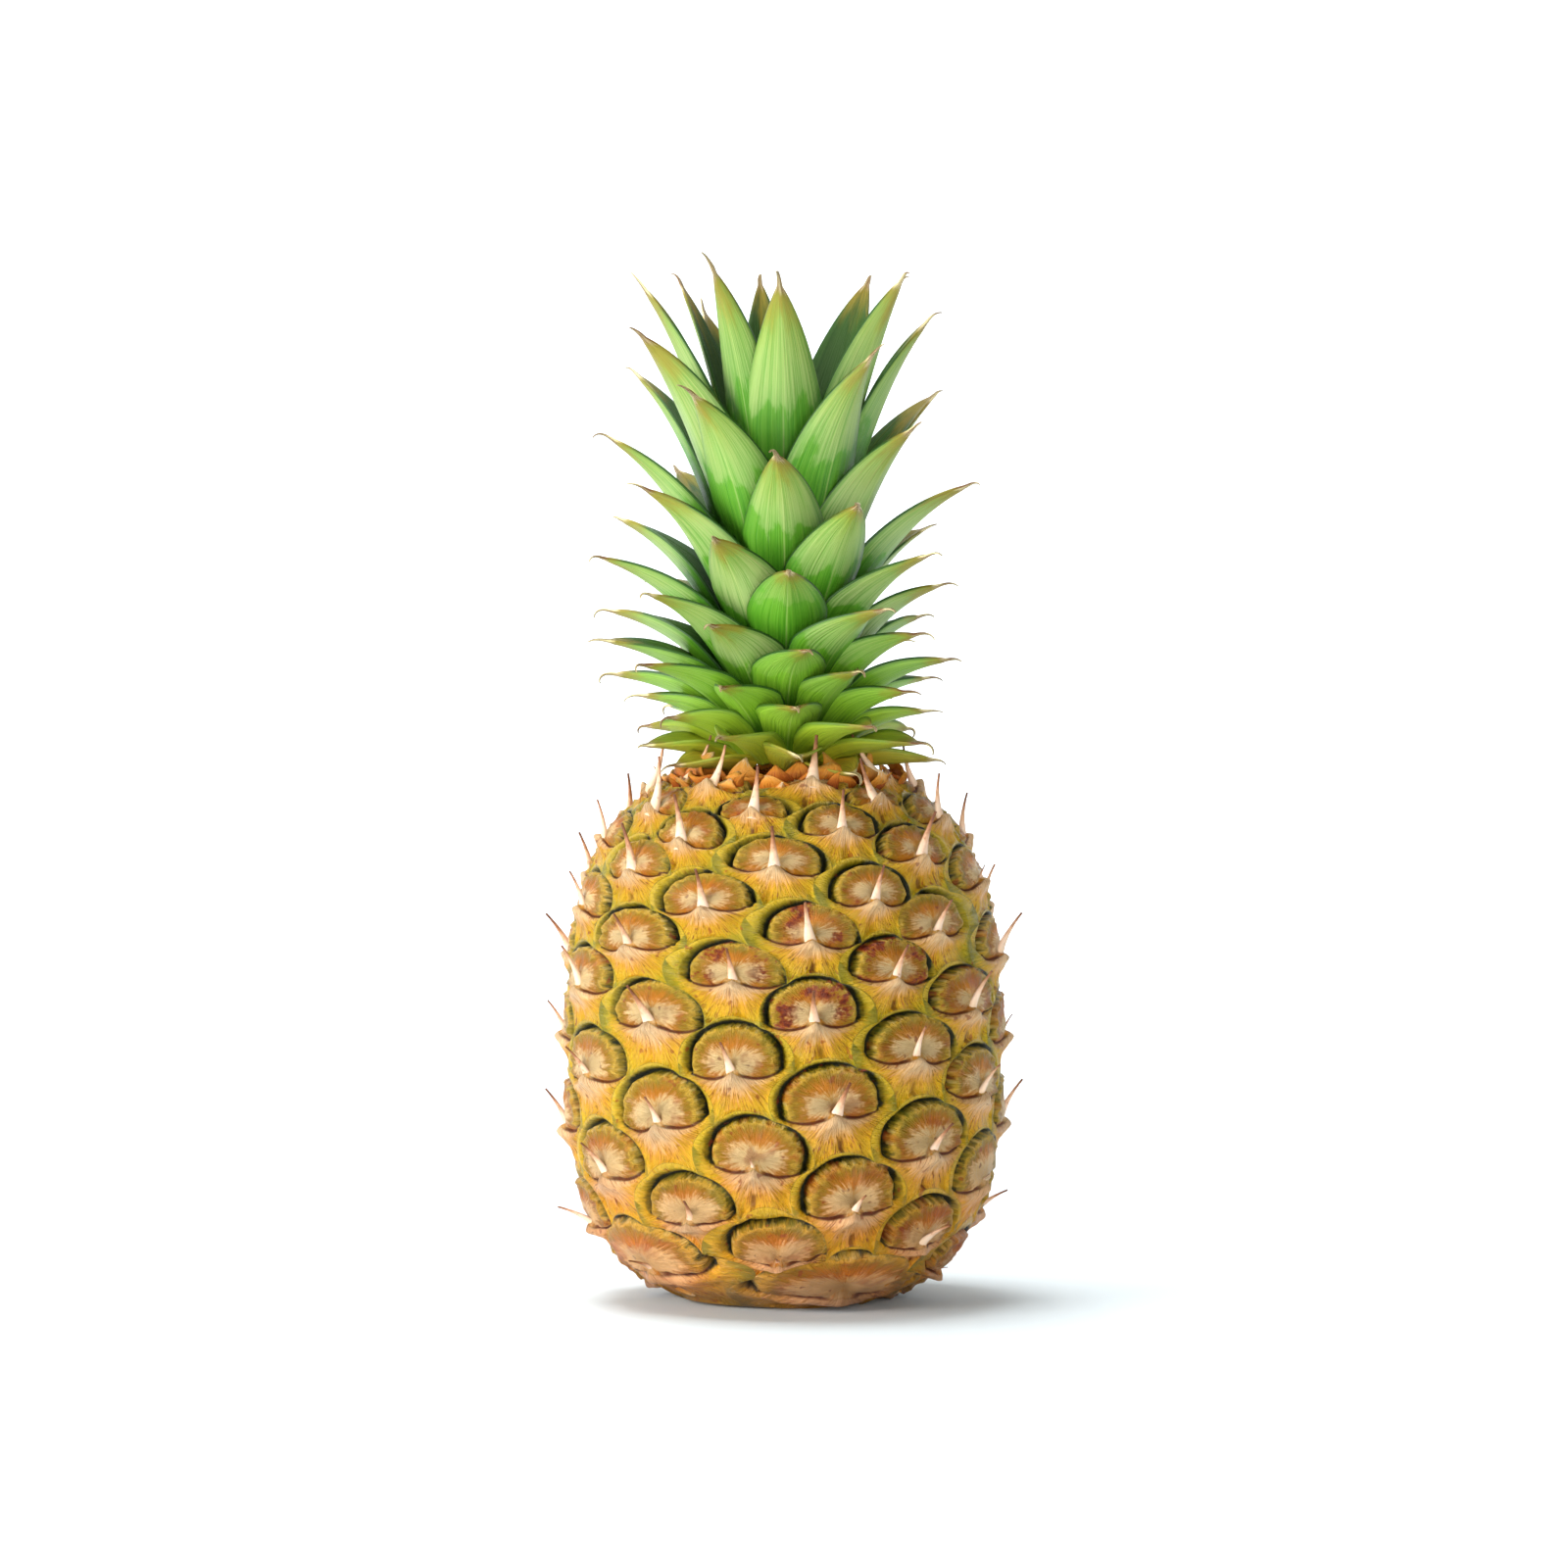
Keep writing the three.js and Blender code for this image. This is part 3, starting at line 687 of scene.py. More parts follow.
def bract_paint(finish, eye):
    """The star under a disc: a cream middle with brown fibres, yellow wings and a green hem, with a
    painted highlight under the lip and painted shade beside the disc and at its lower edge.
    """
    side, reach, above = eye.side, eye.reach, eye.above
    grain, whim, patch = eye.grain - 0.5, eye.whim - 0.5, eye.patch
    tone = reach * (eye.low * -0.3 + 1.2) + (eye.fibre - 0.5) * 0.8 + whim * 0.3
    colour = finish.ramp(finish.math("MAXIMUM", tone, above * 0.66), [
        (0.0, "FEEEE4"), (0.24, "FADCC0"), (0.38, "F4C88E"), (0.48, "E6B43C"),
        (0.64, "DEBA1E"), (0.86, "D0B61C"), (1.0, "B4AC1E")])
    # Painted highlight: a pale pink line along the bract's raised edge just under the lip.
    lip_highlight = finish.step(abs(eye.over + 0.05), 0.07, 0.02) * finish.step(side, 0.9, 0.3)
    colour = finish.tint(colour, lip_highlight * 0.6, "F5DCC8")
    lines = finish.step(eye.thread, 0.56, 0.64) * finish.step(reach, 0.95, 0.5)
    colour = finish.tint(colour, lines * 0.8, "B05A24")
    crease = finish.step(eye.fibre, 0.55, 0.64) * finish.step(reach, 0.22, 0.45)
    crease = crease * finish.step(patch + whim * 0.6, 0.42, 0.55) * finish.step(side, 0.85, 0.35)
    colour = finish.tint(colour, crease * 0.85, "8A3410")
    slot = finish.step(abs(eye.across - (eye.kind - 0.5) * 0.2), 0.07, 0.02)
    slot = slot * finish.step(abs(eye.up + 0.6), 0.2, 0.08) * finish.step(eye.whim, 0.45, 0.55)
    colour = finish.tint(colour, slot * 0.7, "5E2410")
    moss = finish.step(eye.fraction + grain * 0.3 + (patch - 0.5) * 0.5, 0.93, 1.08)
    colour = finish.tint(colour, moss * finish.step(eye.low, 0.9, 0.2) * 0.6, "667412")
    # Darker olive at the star's lower edge, where it drops to the crevice of the eye below: the rind's own
    # green, deepened as painted shade.
    foot = finish.step(eye.fraction + grain * 0.06, 0.93, 1.0) * (1.0 - above)
    colour = finish.tint(colour, foot * 0.5, "5E6A10")
    wing = finish.step(eye.fraction, 0.9, 1.0) * above
    colour = finish.tint(colour, wing * 0.6, "E8CC30")
    # Painted shade: the band just outside each disc's upper outline is darkened to deep olive, a soft
    # shadow beside the crevice.
    shade_beside_disc = finish.step(eye.disc + grain * 0.16, 1.2, 1.04) * above
    return finish.tint(colour, shade_beside_disc * 0.9, "334406")


def seam_paint(finish, eye, colour):
    """The slit under each disc, darkened to red-brown, and the crevice that arches over it, darkened to
    near-black green: painted shade in both, over the rind's own dark colour.
    """
    # Painted shade: a thin red-brown line in the slit under the disc, turning dark olive near the disc's
    # sides.
    mouth = finish.step(abs(eye.over - 0.015), 0.045, 0.012) * finish.step(eye.side, 0.06, 0.2)
    mouth = mouth * finish.step(eye.side, 0.95, 0.82)
    slit_shade = finish.blend(finish.step(eye.disc, 0.85, 1.0), paint("5A210F"), paint("38400C"))
    colour = finish.blend(mouth * 0.88, colour, slit_shade)
    # Painted shade: the crevice over each disc's upper outline, darkened to near-black green.
    groove_shade = finish.step(abs(eye.disc - 1.04 + (eye.grain - 0.5) * 0.05), 0.055, 0.02)
    return finish.tint(colour, groove_shade * eye.above * 0.95, "181E08")


def rind_finish():
    finish = Finish("waxy_rind", specular=0.45)
    eye = EyeFields(finish)
    teeth = finish.math("SINE", eye.bearing * 23 + eye.kind * 50)
    teeth = teeth * finish.step(abs(eye.disc - 0.93), 0.07, 0.02)
    eye.teeth = teeth * finish.step(eye.patch + (eye.whim - 0.5) * 0.4, 0.4, 0.55)
    on_disc = eye.above * finish.step(eye.disc, 1.03, 0.99)
    colour = finish.blend(on_disc, bract_paint(finish, eye), disc_paint(finish, eye))
    colour = seam_paint(finish, eye, colour)
    ripe = finish.step(eye.height + (eye.cloud - 0.5) * 0.04, 0.06, 0.0)
    colour = finish.blend(ripe * 0.4, colour, paint("F09426"), "MULTIPLY")
    speck = finish.step(finish.noise(eye.place, 380, 1), 0.68, 0.75)
    colour = finish.tint(colour, speck * 0.6, "9C3A16")
    colour = finish.blend(1.0, colour, RIND_TINT, "MULTIPLY")
    # Darker brown within the lowest 12 mm of the fruit, next to the ground.
    bottom_dark = finish.step(eye.height + (eye.cloud - 0.5) * 0.012, 0.012, 0.001)
    colour = finish.tint(colour, bottom_dark * 0.55, "5E3210")
    relief = eye.streak * 0.7 + eye.fibre * 1.3 + eye.grain * 0.7 + eye.thread * 0.9 + eye.teeth * 0.5
    return finish.done(colour, 0.3 + eye.cloud * 0.22, relief, 1.0)


eyes, rind = grow_rind(rind_finish())
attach(rind, "root")
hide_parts("fruit")


# Spines: every eye's bract ends in one stiff, pale, flattened spine that crosses the disc above
# it. One spine is made and set on every eye but those nearest the ground, longer and further out
# towards the crown, and some of the lower ones are broken short.
SPINE = {"root": 4.4, "tip": 0.7, "length": 12.5, "bend": 3.0, "flat": 0.7, "fall": 1.9}
SPINE_GROWTH = (0.95, 1.2)
SPINE_LEAN = (math.radians(12), math.radians(28))
SPINE_BROKEN = 0.2
SPINE_WHIM = {"lean": 6, "sway": 14, "whole": (0.88, 1.18), "stump": (0.4, 0.65)}
SPINE_ROOT = {"below": 1.6, "out": 1.4}
SPINE_FLOOR = 8


def node_in(tree, kind, settings, inputs):
    """A geometry node with its settings made first, then its sockets set or linked by place."""
    made = tree.nodes.new(kind)
    for name, value in settings.items():
        setattr(made, name, value)
    for place, value in inputs.items():
        socket = made.inputs[place]
        if isinstance(value, bpy.types.NodeSocket):
            tree.links.new(value, socket)
        else:
            socket.default_value = value
    return made


def tree_with(name, sizes):
    """A new tree with a geometry input, the named sizes as inputs, and a geometry output."""
    tree = bpy.data.node_groups.new(name, "GeometryNodeTree")
    tree.interface.new_socket("Places", in_out="INPUT", socket_type="NodeSocketGeometry")
    for size in sizes:
        kind = "NodeSocketInt" if size == "Seed" else "NodeSocketFloat"
        tree.interface.new_socket(size, in_out="INPUT", socket_type=kind)
    tree.interface.new_socket("Pieces", in_out="OUTPUT", socket_type="NodeSocketGeometry")
    return tree, tree.nodes.new("NodeGroupInput").outputs


def math_in(tree, operation, *values):
    return node_in(tree, "ShaderNodeMath", {"operation": operation}, dict(enumerate(values))).outputs[0]


def named(tree, name, kind="FLOAT"):
    return node_in(tree, "GeometryNodeInputNamedAttribute", {"data_type": kind}, {"Name": name}).outputs[0]


def spine_tree(material):
    sizes = ("Length", "Root width", "Tip width", "Bend", "Flatness", "Fall", "Seed")
    tree, given = tree_with("spines", sizes)
    line = node_in(tree, "GeometryNodeCurvePrimitiveLine", {}, {"Start": (0, 0, 0), "End": (0, 0, 1)})
    line = node_in(tree, "GeometryNodeResampleCurve", {}, {"Curve": line.outputs[0], "Count": 10})
    share = node_in(tree, "GeometryNodeSplineParameter", {}, {}).outputs["Factor"]
    rise = math_in(tree, "MULTIPLY", share, given["Length"])
    sag = math_in(tree, "MULTIPLY", math_in(tree, "MULTIPLY", share, share), given["Bend"])
    spot = node_in(tree, "ShaderNodeCombineXYZ", {}, {"Y": sag, "Z": rise}).outputs[0]
    line = node_in(tree, "GeometryNodeSetPosition", {}, {"Geometry": line.outputs[0], "Position": spot})
    left = math_in(tree, "POWER", math_in(tree, "SUBTRACT", 1.0, share), given["Fall"])
    span = math_in(tree, "SUBTRACT", given["Root width"], given["Tip width"])
    width = math_in(tree, "ADD", math_in(tree, "MULTIPLY", span, left), given["Tip width"])
    radius = math_in(tree, "MULTIPLY", width, 0.5)
    line = node_in(tree, "GeometryNodeStoreNamedAttribute", {"data_type": "FLOAT", "domain": "POINT"},
                   {"Geometry": line.outputs[0], "Name": "along", "Value": share})
    line = node_in(tree, "GeometryNodeSetCurveRadius", {}, {"Curve": line.outputs[0], "Radius": radius})
    ring = node_in(tree, "GeometryNodeCurvePrimitiveCircle", {}, {"Resolution": 10, "Radius": 1.0})
    squash = node_in(tree, "ShaderNodeCombineXYZ", {}, {"X": 1.0, "Y": given["Flatness"], "Z": 1.0})
    sockets = {"Geometry": ring.outputs[0], "Scale": squash.outputs[0]}
    ring = node_in(tree, "GeometryNodeTransform", {}, sockets)
    sockets = {"Curve": line.outputs[0], "Profile Curve": ring.outputs[0], "Fill Caps": True}
    spine = node_in(tree, "GeometryNodeCurveToMesh", {}, sockets)
    if "Scale" in spine.inputs:
        tree.links.new(radius, spine.inputs["Scale"])
    placed = node_in(tree, "GeometryNodeInstanceOnPoints", {}, {
        "Points": given["Places"], "Instance": spine.outputs[0],
        "Rotation": named(tree, "turn", "FLOAT_VECTOR"), "Scale": named(tree, "size")})
    kind = node_in(tree, "FunctionNodeRandomValue", {"data_type": "FLOAT"}, {"Seed": given["Seed"]})
    placed = node_in(tree, "GeometryNodeStoreNamedAttribute", {"data_type": "FLOAT", "domain": "INSTANCE"},
                     {"Geometry": placed.outputs[0], "Name": "kind", "Value": kind.outputs[1]})
    return finish_tree(tree, placed.outputs[0], material)


def finish_tree(tree, pieces, material):
    """Ends a tree: its instances made real, shaded smooth, with their material."""
    real = node_in(tree, "GeometryNodeRealizeInstances", {}, {0: pieces})
    smooth = node_in(tree, "GeometryNodeSetShadeSmooth", {}, {0: real.outputs[0]})
    sockets = {"Geometry": smooth.outputs[0], "Material": material}
    done = node_in(tree, "GeometryNodeSetMaterial", {}, sockets)
    tree.links.new(done.outputs[0], tree.nodes.new("NodeGroupOutput").inputs[0])
    return tree


def run_tree(name, tree, sizes, places, attributes):
    """Sets a tree on a mesh of points and returns its result as a plain mesh piece."""
    mesh = bpy.data.meshes.new(name + "_places")
    mesh.from_pydata([tuple(spot) for spot in places], [], [])
    for label, values in attributes.items():
        kind, field = ("FLOAT_VECTOR", "vector") if np.ndim(values) == 2 else ("FLOAT", "value")
        layer = mesh.attributes.new(label, kind, "POINT")
        layer.data.foreach_set(field, np.asarray(values, np.float32).ravel())
    holder = bpy.data.objects.new(name + "_places", mesh)
    bpy.context.scene.collection.objects.link(holder)
    modifier = holder.modifiers.new(name, "NODES")
    modifier.node_group = tree
    for item in tree.interface.items_tree:
        if item.in_out == "INPUT" and item.name in sizes:
            modifier[item.identifier] = sizes[item.name]
    graph = bpy.context.evaluated_depsgraph_get()
    plain = bpy.data.meshes.new_from_object(holder.evaluated_get(graph))
    holder.modifiers.remove(modifier)
    bpy.data.objects.remove(holder)
    plain.name = name
    piece = bpy.data.objects.new(name, plain)
    bpy.context.scene.collection.objects.link(piece)
    return piece


def grow_spines(eyes, material):
    whim = np.random.default_rng(11)
    places, turns, sizes = [], [], []
    for eye in eyes:
        level = float(np.clip(eye["along"] / SECTION_LENGTH, 0, 1))
        place, upward, outward = on_body(eye["along"] - SPINE_ROOT["below"], eye["azimuth"])
        if place[2] < SPINE_FLOOR:
            continue
        lean = mix(*SPINE_LEAN, level ** 2) + math.radians(whim.uniform(-1, 1) * SPINE_WHIM["lean"])
        sway = math.radians(whim.uniform(-1, 1) * SPINE_WHIM["sway"])
        across = np.cross(upward, outward)
        along = (upward * math.cos(sway) + across * math.sin(sway)) * math.cos(lean)
        along = unit(along + outward * math.sin(lean))
        right = unit(np.cross(outward, along))
        away = np.cross(along, right)
        turn = Matrix((right, away, along)).transposed().to_euler()
        places.append((place + outward * SPINE_ROOT["out"]) * MM)
        turns.append(tuple(turn))
        broken = whim.uniform(0, 1) < SPINE_BROKEN * (1 - level)
        size = whim.uniform(*SPINE_WHIM["stump" if broken else "whole"])
        sizes.append(mix(*SPINE_GROWTH, level ** 2) * size)
    given = {"Length": SPINE["length"] * MM, "Root width": SPINE["root"] * MM,
             "Tip width": SPINE["tip"] * MM, "Bend": SPINE["bend"] * MM,
             "Flatness": SPINE["flat"], "Fall": SPINE["fall"], "Seed": 3}
    attributes = {"turn": np.array(turns), "size": np.array(sizes)}
    return run_tree("eye_spines", spine_tree(material), given, places, attributes)


def spine_finish():
    finish = Finish("dry_spine", specular=0.35)
    along = finish.attribute("along")
    kind = finish.attribute("kind")
    grain = finish.noise(finish.place(), 700, 3)
    colour = finish.ramp(along + (grain - 0.5) * 0.4 + (kind - 0.5) * 0.3, [
        (0.0, "F0CCA4"), (0.35, "F0D0B4"), (0.58, "DEB08C"), (0.8, "A8704A"), (1.0, "6E3E20")])
    colour = finish.tint(colour, finish.step(grain, 0.62, 0.72) * 0.5, "A8643E")
    return finish.done(colour, 0.45 + grain * 0.2, grain, 0.25)


spines = grow_spines(eyes, spine_finish())
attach(spines, "root")


# Cut stalk: the woody stub under the fruit. It is cut flush, with a rough rim and a fibrous
# face that the ground hides.
STALK = {"radius": 13.0, "depth": 6.0, "rim": 0.7, "sides": 72}


def grow_stalk(material):
    azimuth = np.arange(STALK["sides"]) / STALK["sides"] * 2 * math.pi
    ragged = 0.12 * np.sin(9 * azimuth) + 0.1 * np.sin(23 * azimuth + 1) - 0.22
    rows = [(0.01, 0.25), (2.5, 0.25), (5, 0.1), (8, 0.02), (11, 0.0), (12.4, 0.0), (12.9, STALK["rim"]),
            (13.0, 2.4), (13.0, STALK["depth"]), (6, STALK["depth"]), (0.01, STALK["depth"])]
    points = [at_azimuth(radius + ragged * (radius > 10), azimuth, height) for radius, height in rows]
    count = STALK["sides"]
    faces = []
    for i in range(len(rows) - 1):
        for j in range(count):
            k = (j + 1) % count
            faces.append((i * count + k, i * count + j, (i + 1) * count + j, (i + 1) * count + k))
    faces.append(tuple(range(count)))
    faces.append(tuple((len(rows) - 1) * count + j for j in reversed(range(count))))
    return mesh_piece("stalk_stub", np.concatenate(points), faces, material, {})


def stalk_finish():
    finish = Finish("cut_stalk", specular=0.25)
    x, y, z = finish.split(finish.place())
    radius = finish.math("SQRT", x * x + y * y)
    bearing = finish.math("ARCTAN2", y, x)
    spoke = finish.noise(finish.vector(bearing * 5, radius * 30, 0), 4, 4)
    pores = finish.noise(finish.place(), 900, 2)
    colour = finish.ramp(radius * 72 + (spoke - 0.5) * 0.35, [
        (0.0, "C9A56A"), (0.35, "B98F55"), (0.7, "96683A"), (0.92, "6B4426")])
    colour = finish.tint(colour, finish.step(pores, 0.58, 0.68) * 0.6, "5B3A20")
    colour = finish.tint(colour, finish.step(z, 0.001, 0.003) * 0.5, "7A5A2C")
    return finish.done(colour, 0.7 + pores * 0.2, spoke + pores * 0.7, 0.6)


stalk = grow_stalk(stalk_finish())
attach(stalk, "root")
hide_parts("cut_stalk")


# Crown: a short leafy shoot. Stiff channelled leaves clasp a stem on a spiral of their own, so
# near to 5 turns in 13 leaves that they stand in columns. Each has a pale bloom on its back, a
# dark green inner face and a dried point that curls.
CROWN_TURN = math.radians(138.4)
CROWN_LEAVES = 78
FRONT_LEAF = 70
CORE = ((0, 18.6), (12, 18.2), (52, 15), (78, 9), (96, 3))
LEAF_SINK = 5
LEAF_FOOT = {"rise": 3.9, "step": 0.2, "growth": 0.0062}
LEAF_TIP = {"rise": 4.0, "step": 0.97, "growth": 2.55e-6, "highest": 134.5}
LEAF_SPREAD = {"low": 36, "high": 46, "heart": 14}
LEAF_WIDTH = {"low": 15, "high": 22, "foot": 0.8, "widest": 0.42, "taper": 1.3}
LEAF_THICKNESS = 2.0
LEAF_HOLLOW = 0.55
LEAF_STEPS = 30
HAIR_STEPS = 8
HAIR_SHARE = 0.2
BLADE_COLUMNS = 9
LEAF_TINT = (0.86, 0.87, 0.68, 1)


def leaf_width(share, blunt):
    """A leaf's width along it, as a share of its widest; a blunt one stays wide nearer its tip."""
    widest = LEAF_WIDTH["widest"] + 0.12 * blunt
    low = mix(LEAF_WIDTH["foot"], 1, np.clip(share / widest, 0, 1))
    beyond = np.clip((share - widest) / (1 - widest), 0, 1)
    return low - beyond ** (LEAF_WIDTH["taper"] + 0.5 * blunt)


def bowed(foot, bend, tip, shares):
    """Spots on a curve from the foot to the tip that leans towards the bend."""
    shares = shares[:, None]
    return (1 - shares) ** 2 * foot + 2 * shares * (1 - shares) * bend + shares ** 2 * tip


def leaf_line(foot, bend, tip, hair, curl):
    """Radius and height along a leaf's middle, then along the dried point that curls on from it."""
    foot, bend, tip = (np.array(spot, float) for spot in (foot, bend, tip))
    line = bowed(foot, bend, tip, np.linspace(0, 1, LEAF_STEPS + 1))
    heading = tip - bend
    angle = math.atan2(heading[1], heading[0])
    spots = [tip]
    for step in range(HAIR_STEPS):
        angle += curl * (step + 1) / (HAIR_STEPS * (HAIR_STEPS + 1) / 2)
        spots.append(spots[-1] + hair / HAIR_STEPS * np.array([math.cos(angle), math.sin(angle)]))
    return np.concatenate([line, np.array(spots[1:])])


class Blades:
    """Gathers channelled blades into one mesh, with the UV layers that their finish reads."""

    def __init__(self):
        self.points = []
        self.faces = []
        self.layers = {"leaf": [], "kind": [], "face": []}
        self.count = 0

    def add(self, line, shares, azimuth, half, wall, look):
        """One blade: rings of points round its section, joined along its line, closed at both ends."""
        tangent = unit(np.gradient(line, axis=0))
        turned = azimuth + look["sway"] * shares ** 2
        centre = at_azimuth(line[:, 0], turned, line[:, 1])
        outward = at_azimuth(tangent[:, 1], turned, -tangent[:, 0])
        right = np.stack([np.cos(turned), np.sin(turned), 0 * turned], -1)
        roll = (look["twist"] * shares ** 1.5)[:, None]
        right, outward = (right * np.cos(roll) + outward * np.sin(roll),
                          outward * np.cos(roll) - right * np.sin(roll))
        sides = np.linspace(-1, 1, BLADE_COLUMNS)
        lift = look["hollow"] * (0.6 * sides ** 2 + 0.4 * np.abs(sides))
        depth = (half * np.clip(1 - 0.3 * shares, 0.1, None))[:, None]
        swell = np.sqrt(np.clip(1 - 0.8 * sides ** 2, 0, 1))
        rings = []
        for way in (1, -1):
            offset = -lift * depth + way * wall[:, None] * swell
            ring = centre[:, None] + right[:, None] * (half[:, None] * sides)[..., None]
            rings.append(ring + outward[:, None] * offset[..., None])
        ring = np.concatenate([rings[0], rings[1][:, ::-1]], 1)
        self.stitch(ring, shares, sides, look["kind"], look["level"])

    def stitch(self, ring, shares, sides, kind, level):
        rows, round_count = ring.shape[:2]
        across = np.concatenate([sides, sides[::-1]])
        columns = BLADE_COLUMNS
        for i in range(rows - 1):
            for j in range(round_count):
                k = (j + 1) % round_count
                corners = ((i, j), (i, k), (i + 1, k), (i + 1, j))
                self.face(corners, round_count, shares, across, j >= columns - 1, kind, level)
        for i, way in ((0, -1), (rows - 1, 1)):
            for j in range(columns - 1):
                corners = ((i, j), (i, j + 1), (i, round_count - 2 - j), (i, round_count - 1 - j))
                self.face(corners[::way], round_count, shares, across, False, kind, level)
        self.points.append(ring.reshape(-1, 3))
        self.count += rows * round_count

    def face(self, corners, round_count, shares, across, inner, kind, level):
        self.faces.append([self.count + i * round_count + j for i, j in corners])
        self.layers["leaf"].extend((across[j], shares[i]) for i, j in corners)
        self.layers["kind"].extend([(kind, level)] * len(corners))
        self.layers["face"].extend([(float(inner), 0.0)] * len(corners))


def crown_leaf(index, draw):
    """Where one leaf starts, bends and ends, by the rule that the solid follows too."""
    level = index / CROWN_LEAVES
    foot_rise = LEAF_FOOT["rise"] + LEAF_FOOT["step"] * index + LEAF_FOOT["growth"] * index ** 2
    tip_rise = LEAF_TIP["rise"] + LEAF_TIP["step"] * index + LEAF_TIP["growth"] * index ** 4
    foot_radius = max(np.interp(foot_rise, *zip(*CORE)) - LEAF_SINK, 1)
    rounded = math.sin(0.5 * math.pi * min(1.6 * level, 1))
    spread = mix(LEAF_SPREAD["low"], LEAF_SPREAD["high"], rounded) - LEAF_SPREAD["heart"] * level ** 8
    tip_radius = spread * (1 + 0.1 * (2 * next(draw) - 1))
    tip_height = SEAT_HEIGHT + min(tip_rise, LEAF_TIP["highest"]) * (1 + 0.015 * (2 * next(draw) - 1))
    foot = (foot_radius, SEAT_HEIGHT + foot_rise)
    tip = (tip_radius, tip_height)
    bend = (mix(foot[0], tip[0], 0.4), mix(foot[1], tip[1], mix(0.95, 0.7, level)))
    return foot, bend, tip, 0.22 * (next(draw) - 0.5), level


def grow_crown(material):
    draw = seeded_draw(23)
    whim = np.random.default_rng(41)
    blades = Blades()
    hair = 1 + HAIR_SHARE * np.arange(1, HAIR_STEPS + 1) / HAIR_STEPS
    shares = np.concatenate([np.linspace(0, 1, LEAF_STEPS + 1), hair])
    for index in range(CROWN_LEAVES):
        foot, bend, tip, sway, level = crown_leaf(index, draw)
        curl = -whim.uniform(0.3, 2.6) * (1 - 0.5 * level)
        line = leaf_line(foot, bend, tip, whim.uniform(2.0, 5.5), curl)
        blunt = float(np.clip(1.0 - 3 * level, 0, 1))
        width = mix(LEAF_WIDTH["low"], LEAF_WIDTH["high"], min(level * 1.6, 1))
        width *= 1 - 0.45 * smooth_step(0.9, 1.0, level)
        half = np.maximum(0.5 * width * leaf_width(shares, blunt), 0.6)
        half *= np.where(shares > 1, 1 - 0.65 * (shares - 1) / HAIR_SHARE, 1)
        wall = 0.5 * np.minimum(LEAF_THICKNESS * (1 - 0.4 * shares), 1.2 * half)
        look = {"sway": sway, "twist": whim.uniform(-0.35, 0.35), "hollow": LEAF_HOLLOW,
                "kind": whim.uniform(0, 1), "level": level}
        blades.add(line, shares, CROWN_TURN * (index - FRONT_LEAF), half, wall, look)
    points = np.concatenate(blades.points)
    points[:, 2] = np.minimum(points[:, 2], cad_box[1][2] / MM - 0.1)
    return mesh_piece("crown_leaves", points, blades.faces, material, blades.layers)


def leaf_finish():
    finish = Finish("bloomed_leaf", specular=0.4)
    across, along = finish.uv("leaf")
    kind, level = finish.uv("kind")
    inner = finish.uv("face")[0]
    side = abs(across)
    vein = finish.noise(finish.vector(across * 10, along * 0.8, kind * 40), 2.2, 4)
    blotch = finish.noise(finish.vector(across * 1.0, along * 2.4, kind * 77), 1.7, 4)
    whim = finish.noise(finish.vector(kind * 83, 0, 0), 4.0, 0)
    bloom_edge = along + (blotch - 0.5) * 0.5 + (whim - 0.5) * 0.7
    crisp = finish.step(bloom_edge, 0.42, 0.46) * finish.step(bloom_edge, 0.2, 0.8)
    bloom = crisp * finish.step(level + (whim - 0.5) * 0.5, 0.2, 0.6)
    base = finish.ramp(level, [
        (0.0, "D8A22A"), (0.08, "C6C02E"), (0.25, "98CC2C"), (0.55, "52A412"), (1.0, "419012")])
    aged = finish.step(along + (blotch - 0.5) * 0.3, 0.35, 0.9)
    powder = finish.blend(aged, paint("CCDCA6"), paint("98AE48"))
    powder = finish.blend(finish.step(vein, 0.6, 0.35) * 0.55, powder, paint("7DAE44"))
    sheen = finish.step(along + (vein - 0.5) * 0.8, 0.1, 0.9) * 0.35
    colour = finish.blend(sheen, base, paint("AACF66"))
    colour = finish.blend(bloom, colour, powder)
    colour = finish.tint(colour, finish.step(vein, 0.55, 0.35) * 0.3, "3E8420")
    keel = finish.step(side, 0.035, 0.0) * 0.3
    colour = finish.tint(colour, keel, "DCE8A0")
    # Painted shade: the foot of each leaf, where it stands in the dark behind the leaves below, is
    # darkened to deep green; the lowest leaves are left out.
    foot = finish.step(along + (vein - 0.5) * 0.2, 0.5, 0.12)
    foot = foot * finish.step(level, 0.08, 0.3)
    colour = finish.tint(colour, foot * 0.9, "144406")
    hem = finish.step(side, 0.86, 0.98)
    colour = finish.tint(colour, hem * 0.45, "3F7A18")
    dark = finish.blend(vein, paint("123209"), paint("2A6216"))
    colour = finish.blend(inner * finish.step(level, 0.02, 0.3) * 0.92, colour, dark)
    drying = along + (blotch - 0.5) * 0.5 + (whim - 0.5) * 0.14 - side * 0.06
    dry = finish.step(drying, 0.7, 0.92)
    colour = finish.blend(dry * 0.8, colour, finish.blend(blotch, paint("B0862A"), paint("9A9432")))
    streak = finish.step(vein, 0.58, 0.66) * finish.step(along, 0.45, 0.85)
    streak = streak * finish.step(whim, 0.48, 0.56)
    colour = finish.tint(colour, streak * 0.8, "86601F")
    point = finish.step(along + (blotch - 0.5) * 0.14, 0.92, 0.97)
    husk = finish.blend(finish.step(vein, 0.45, 0.55), paint("7A4A1E"), paint("F2E0B8"))
    colour = finish.blend(point, colour, husk)
    colour = finish.blend(1.0, colour, LEAF_TINT, "MULTIPLY")
    return finish.done(colour, 0.38 + vein * 0.15, vein, 0.35)


crown = grow_crown(leaf_finish())
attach(crown, "root")
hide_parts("crown")


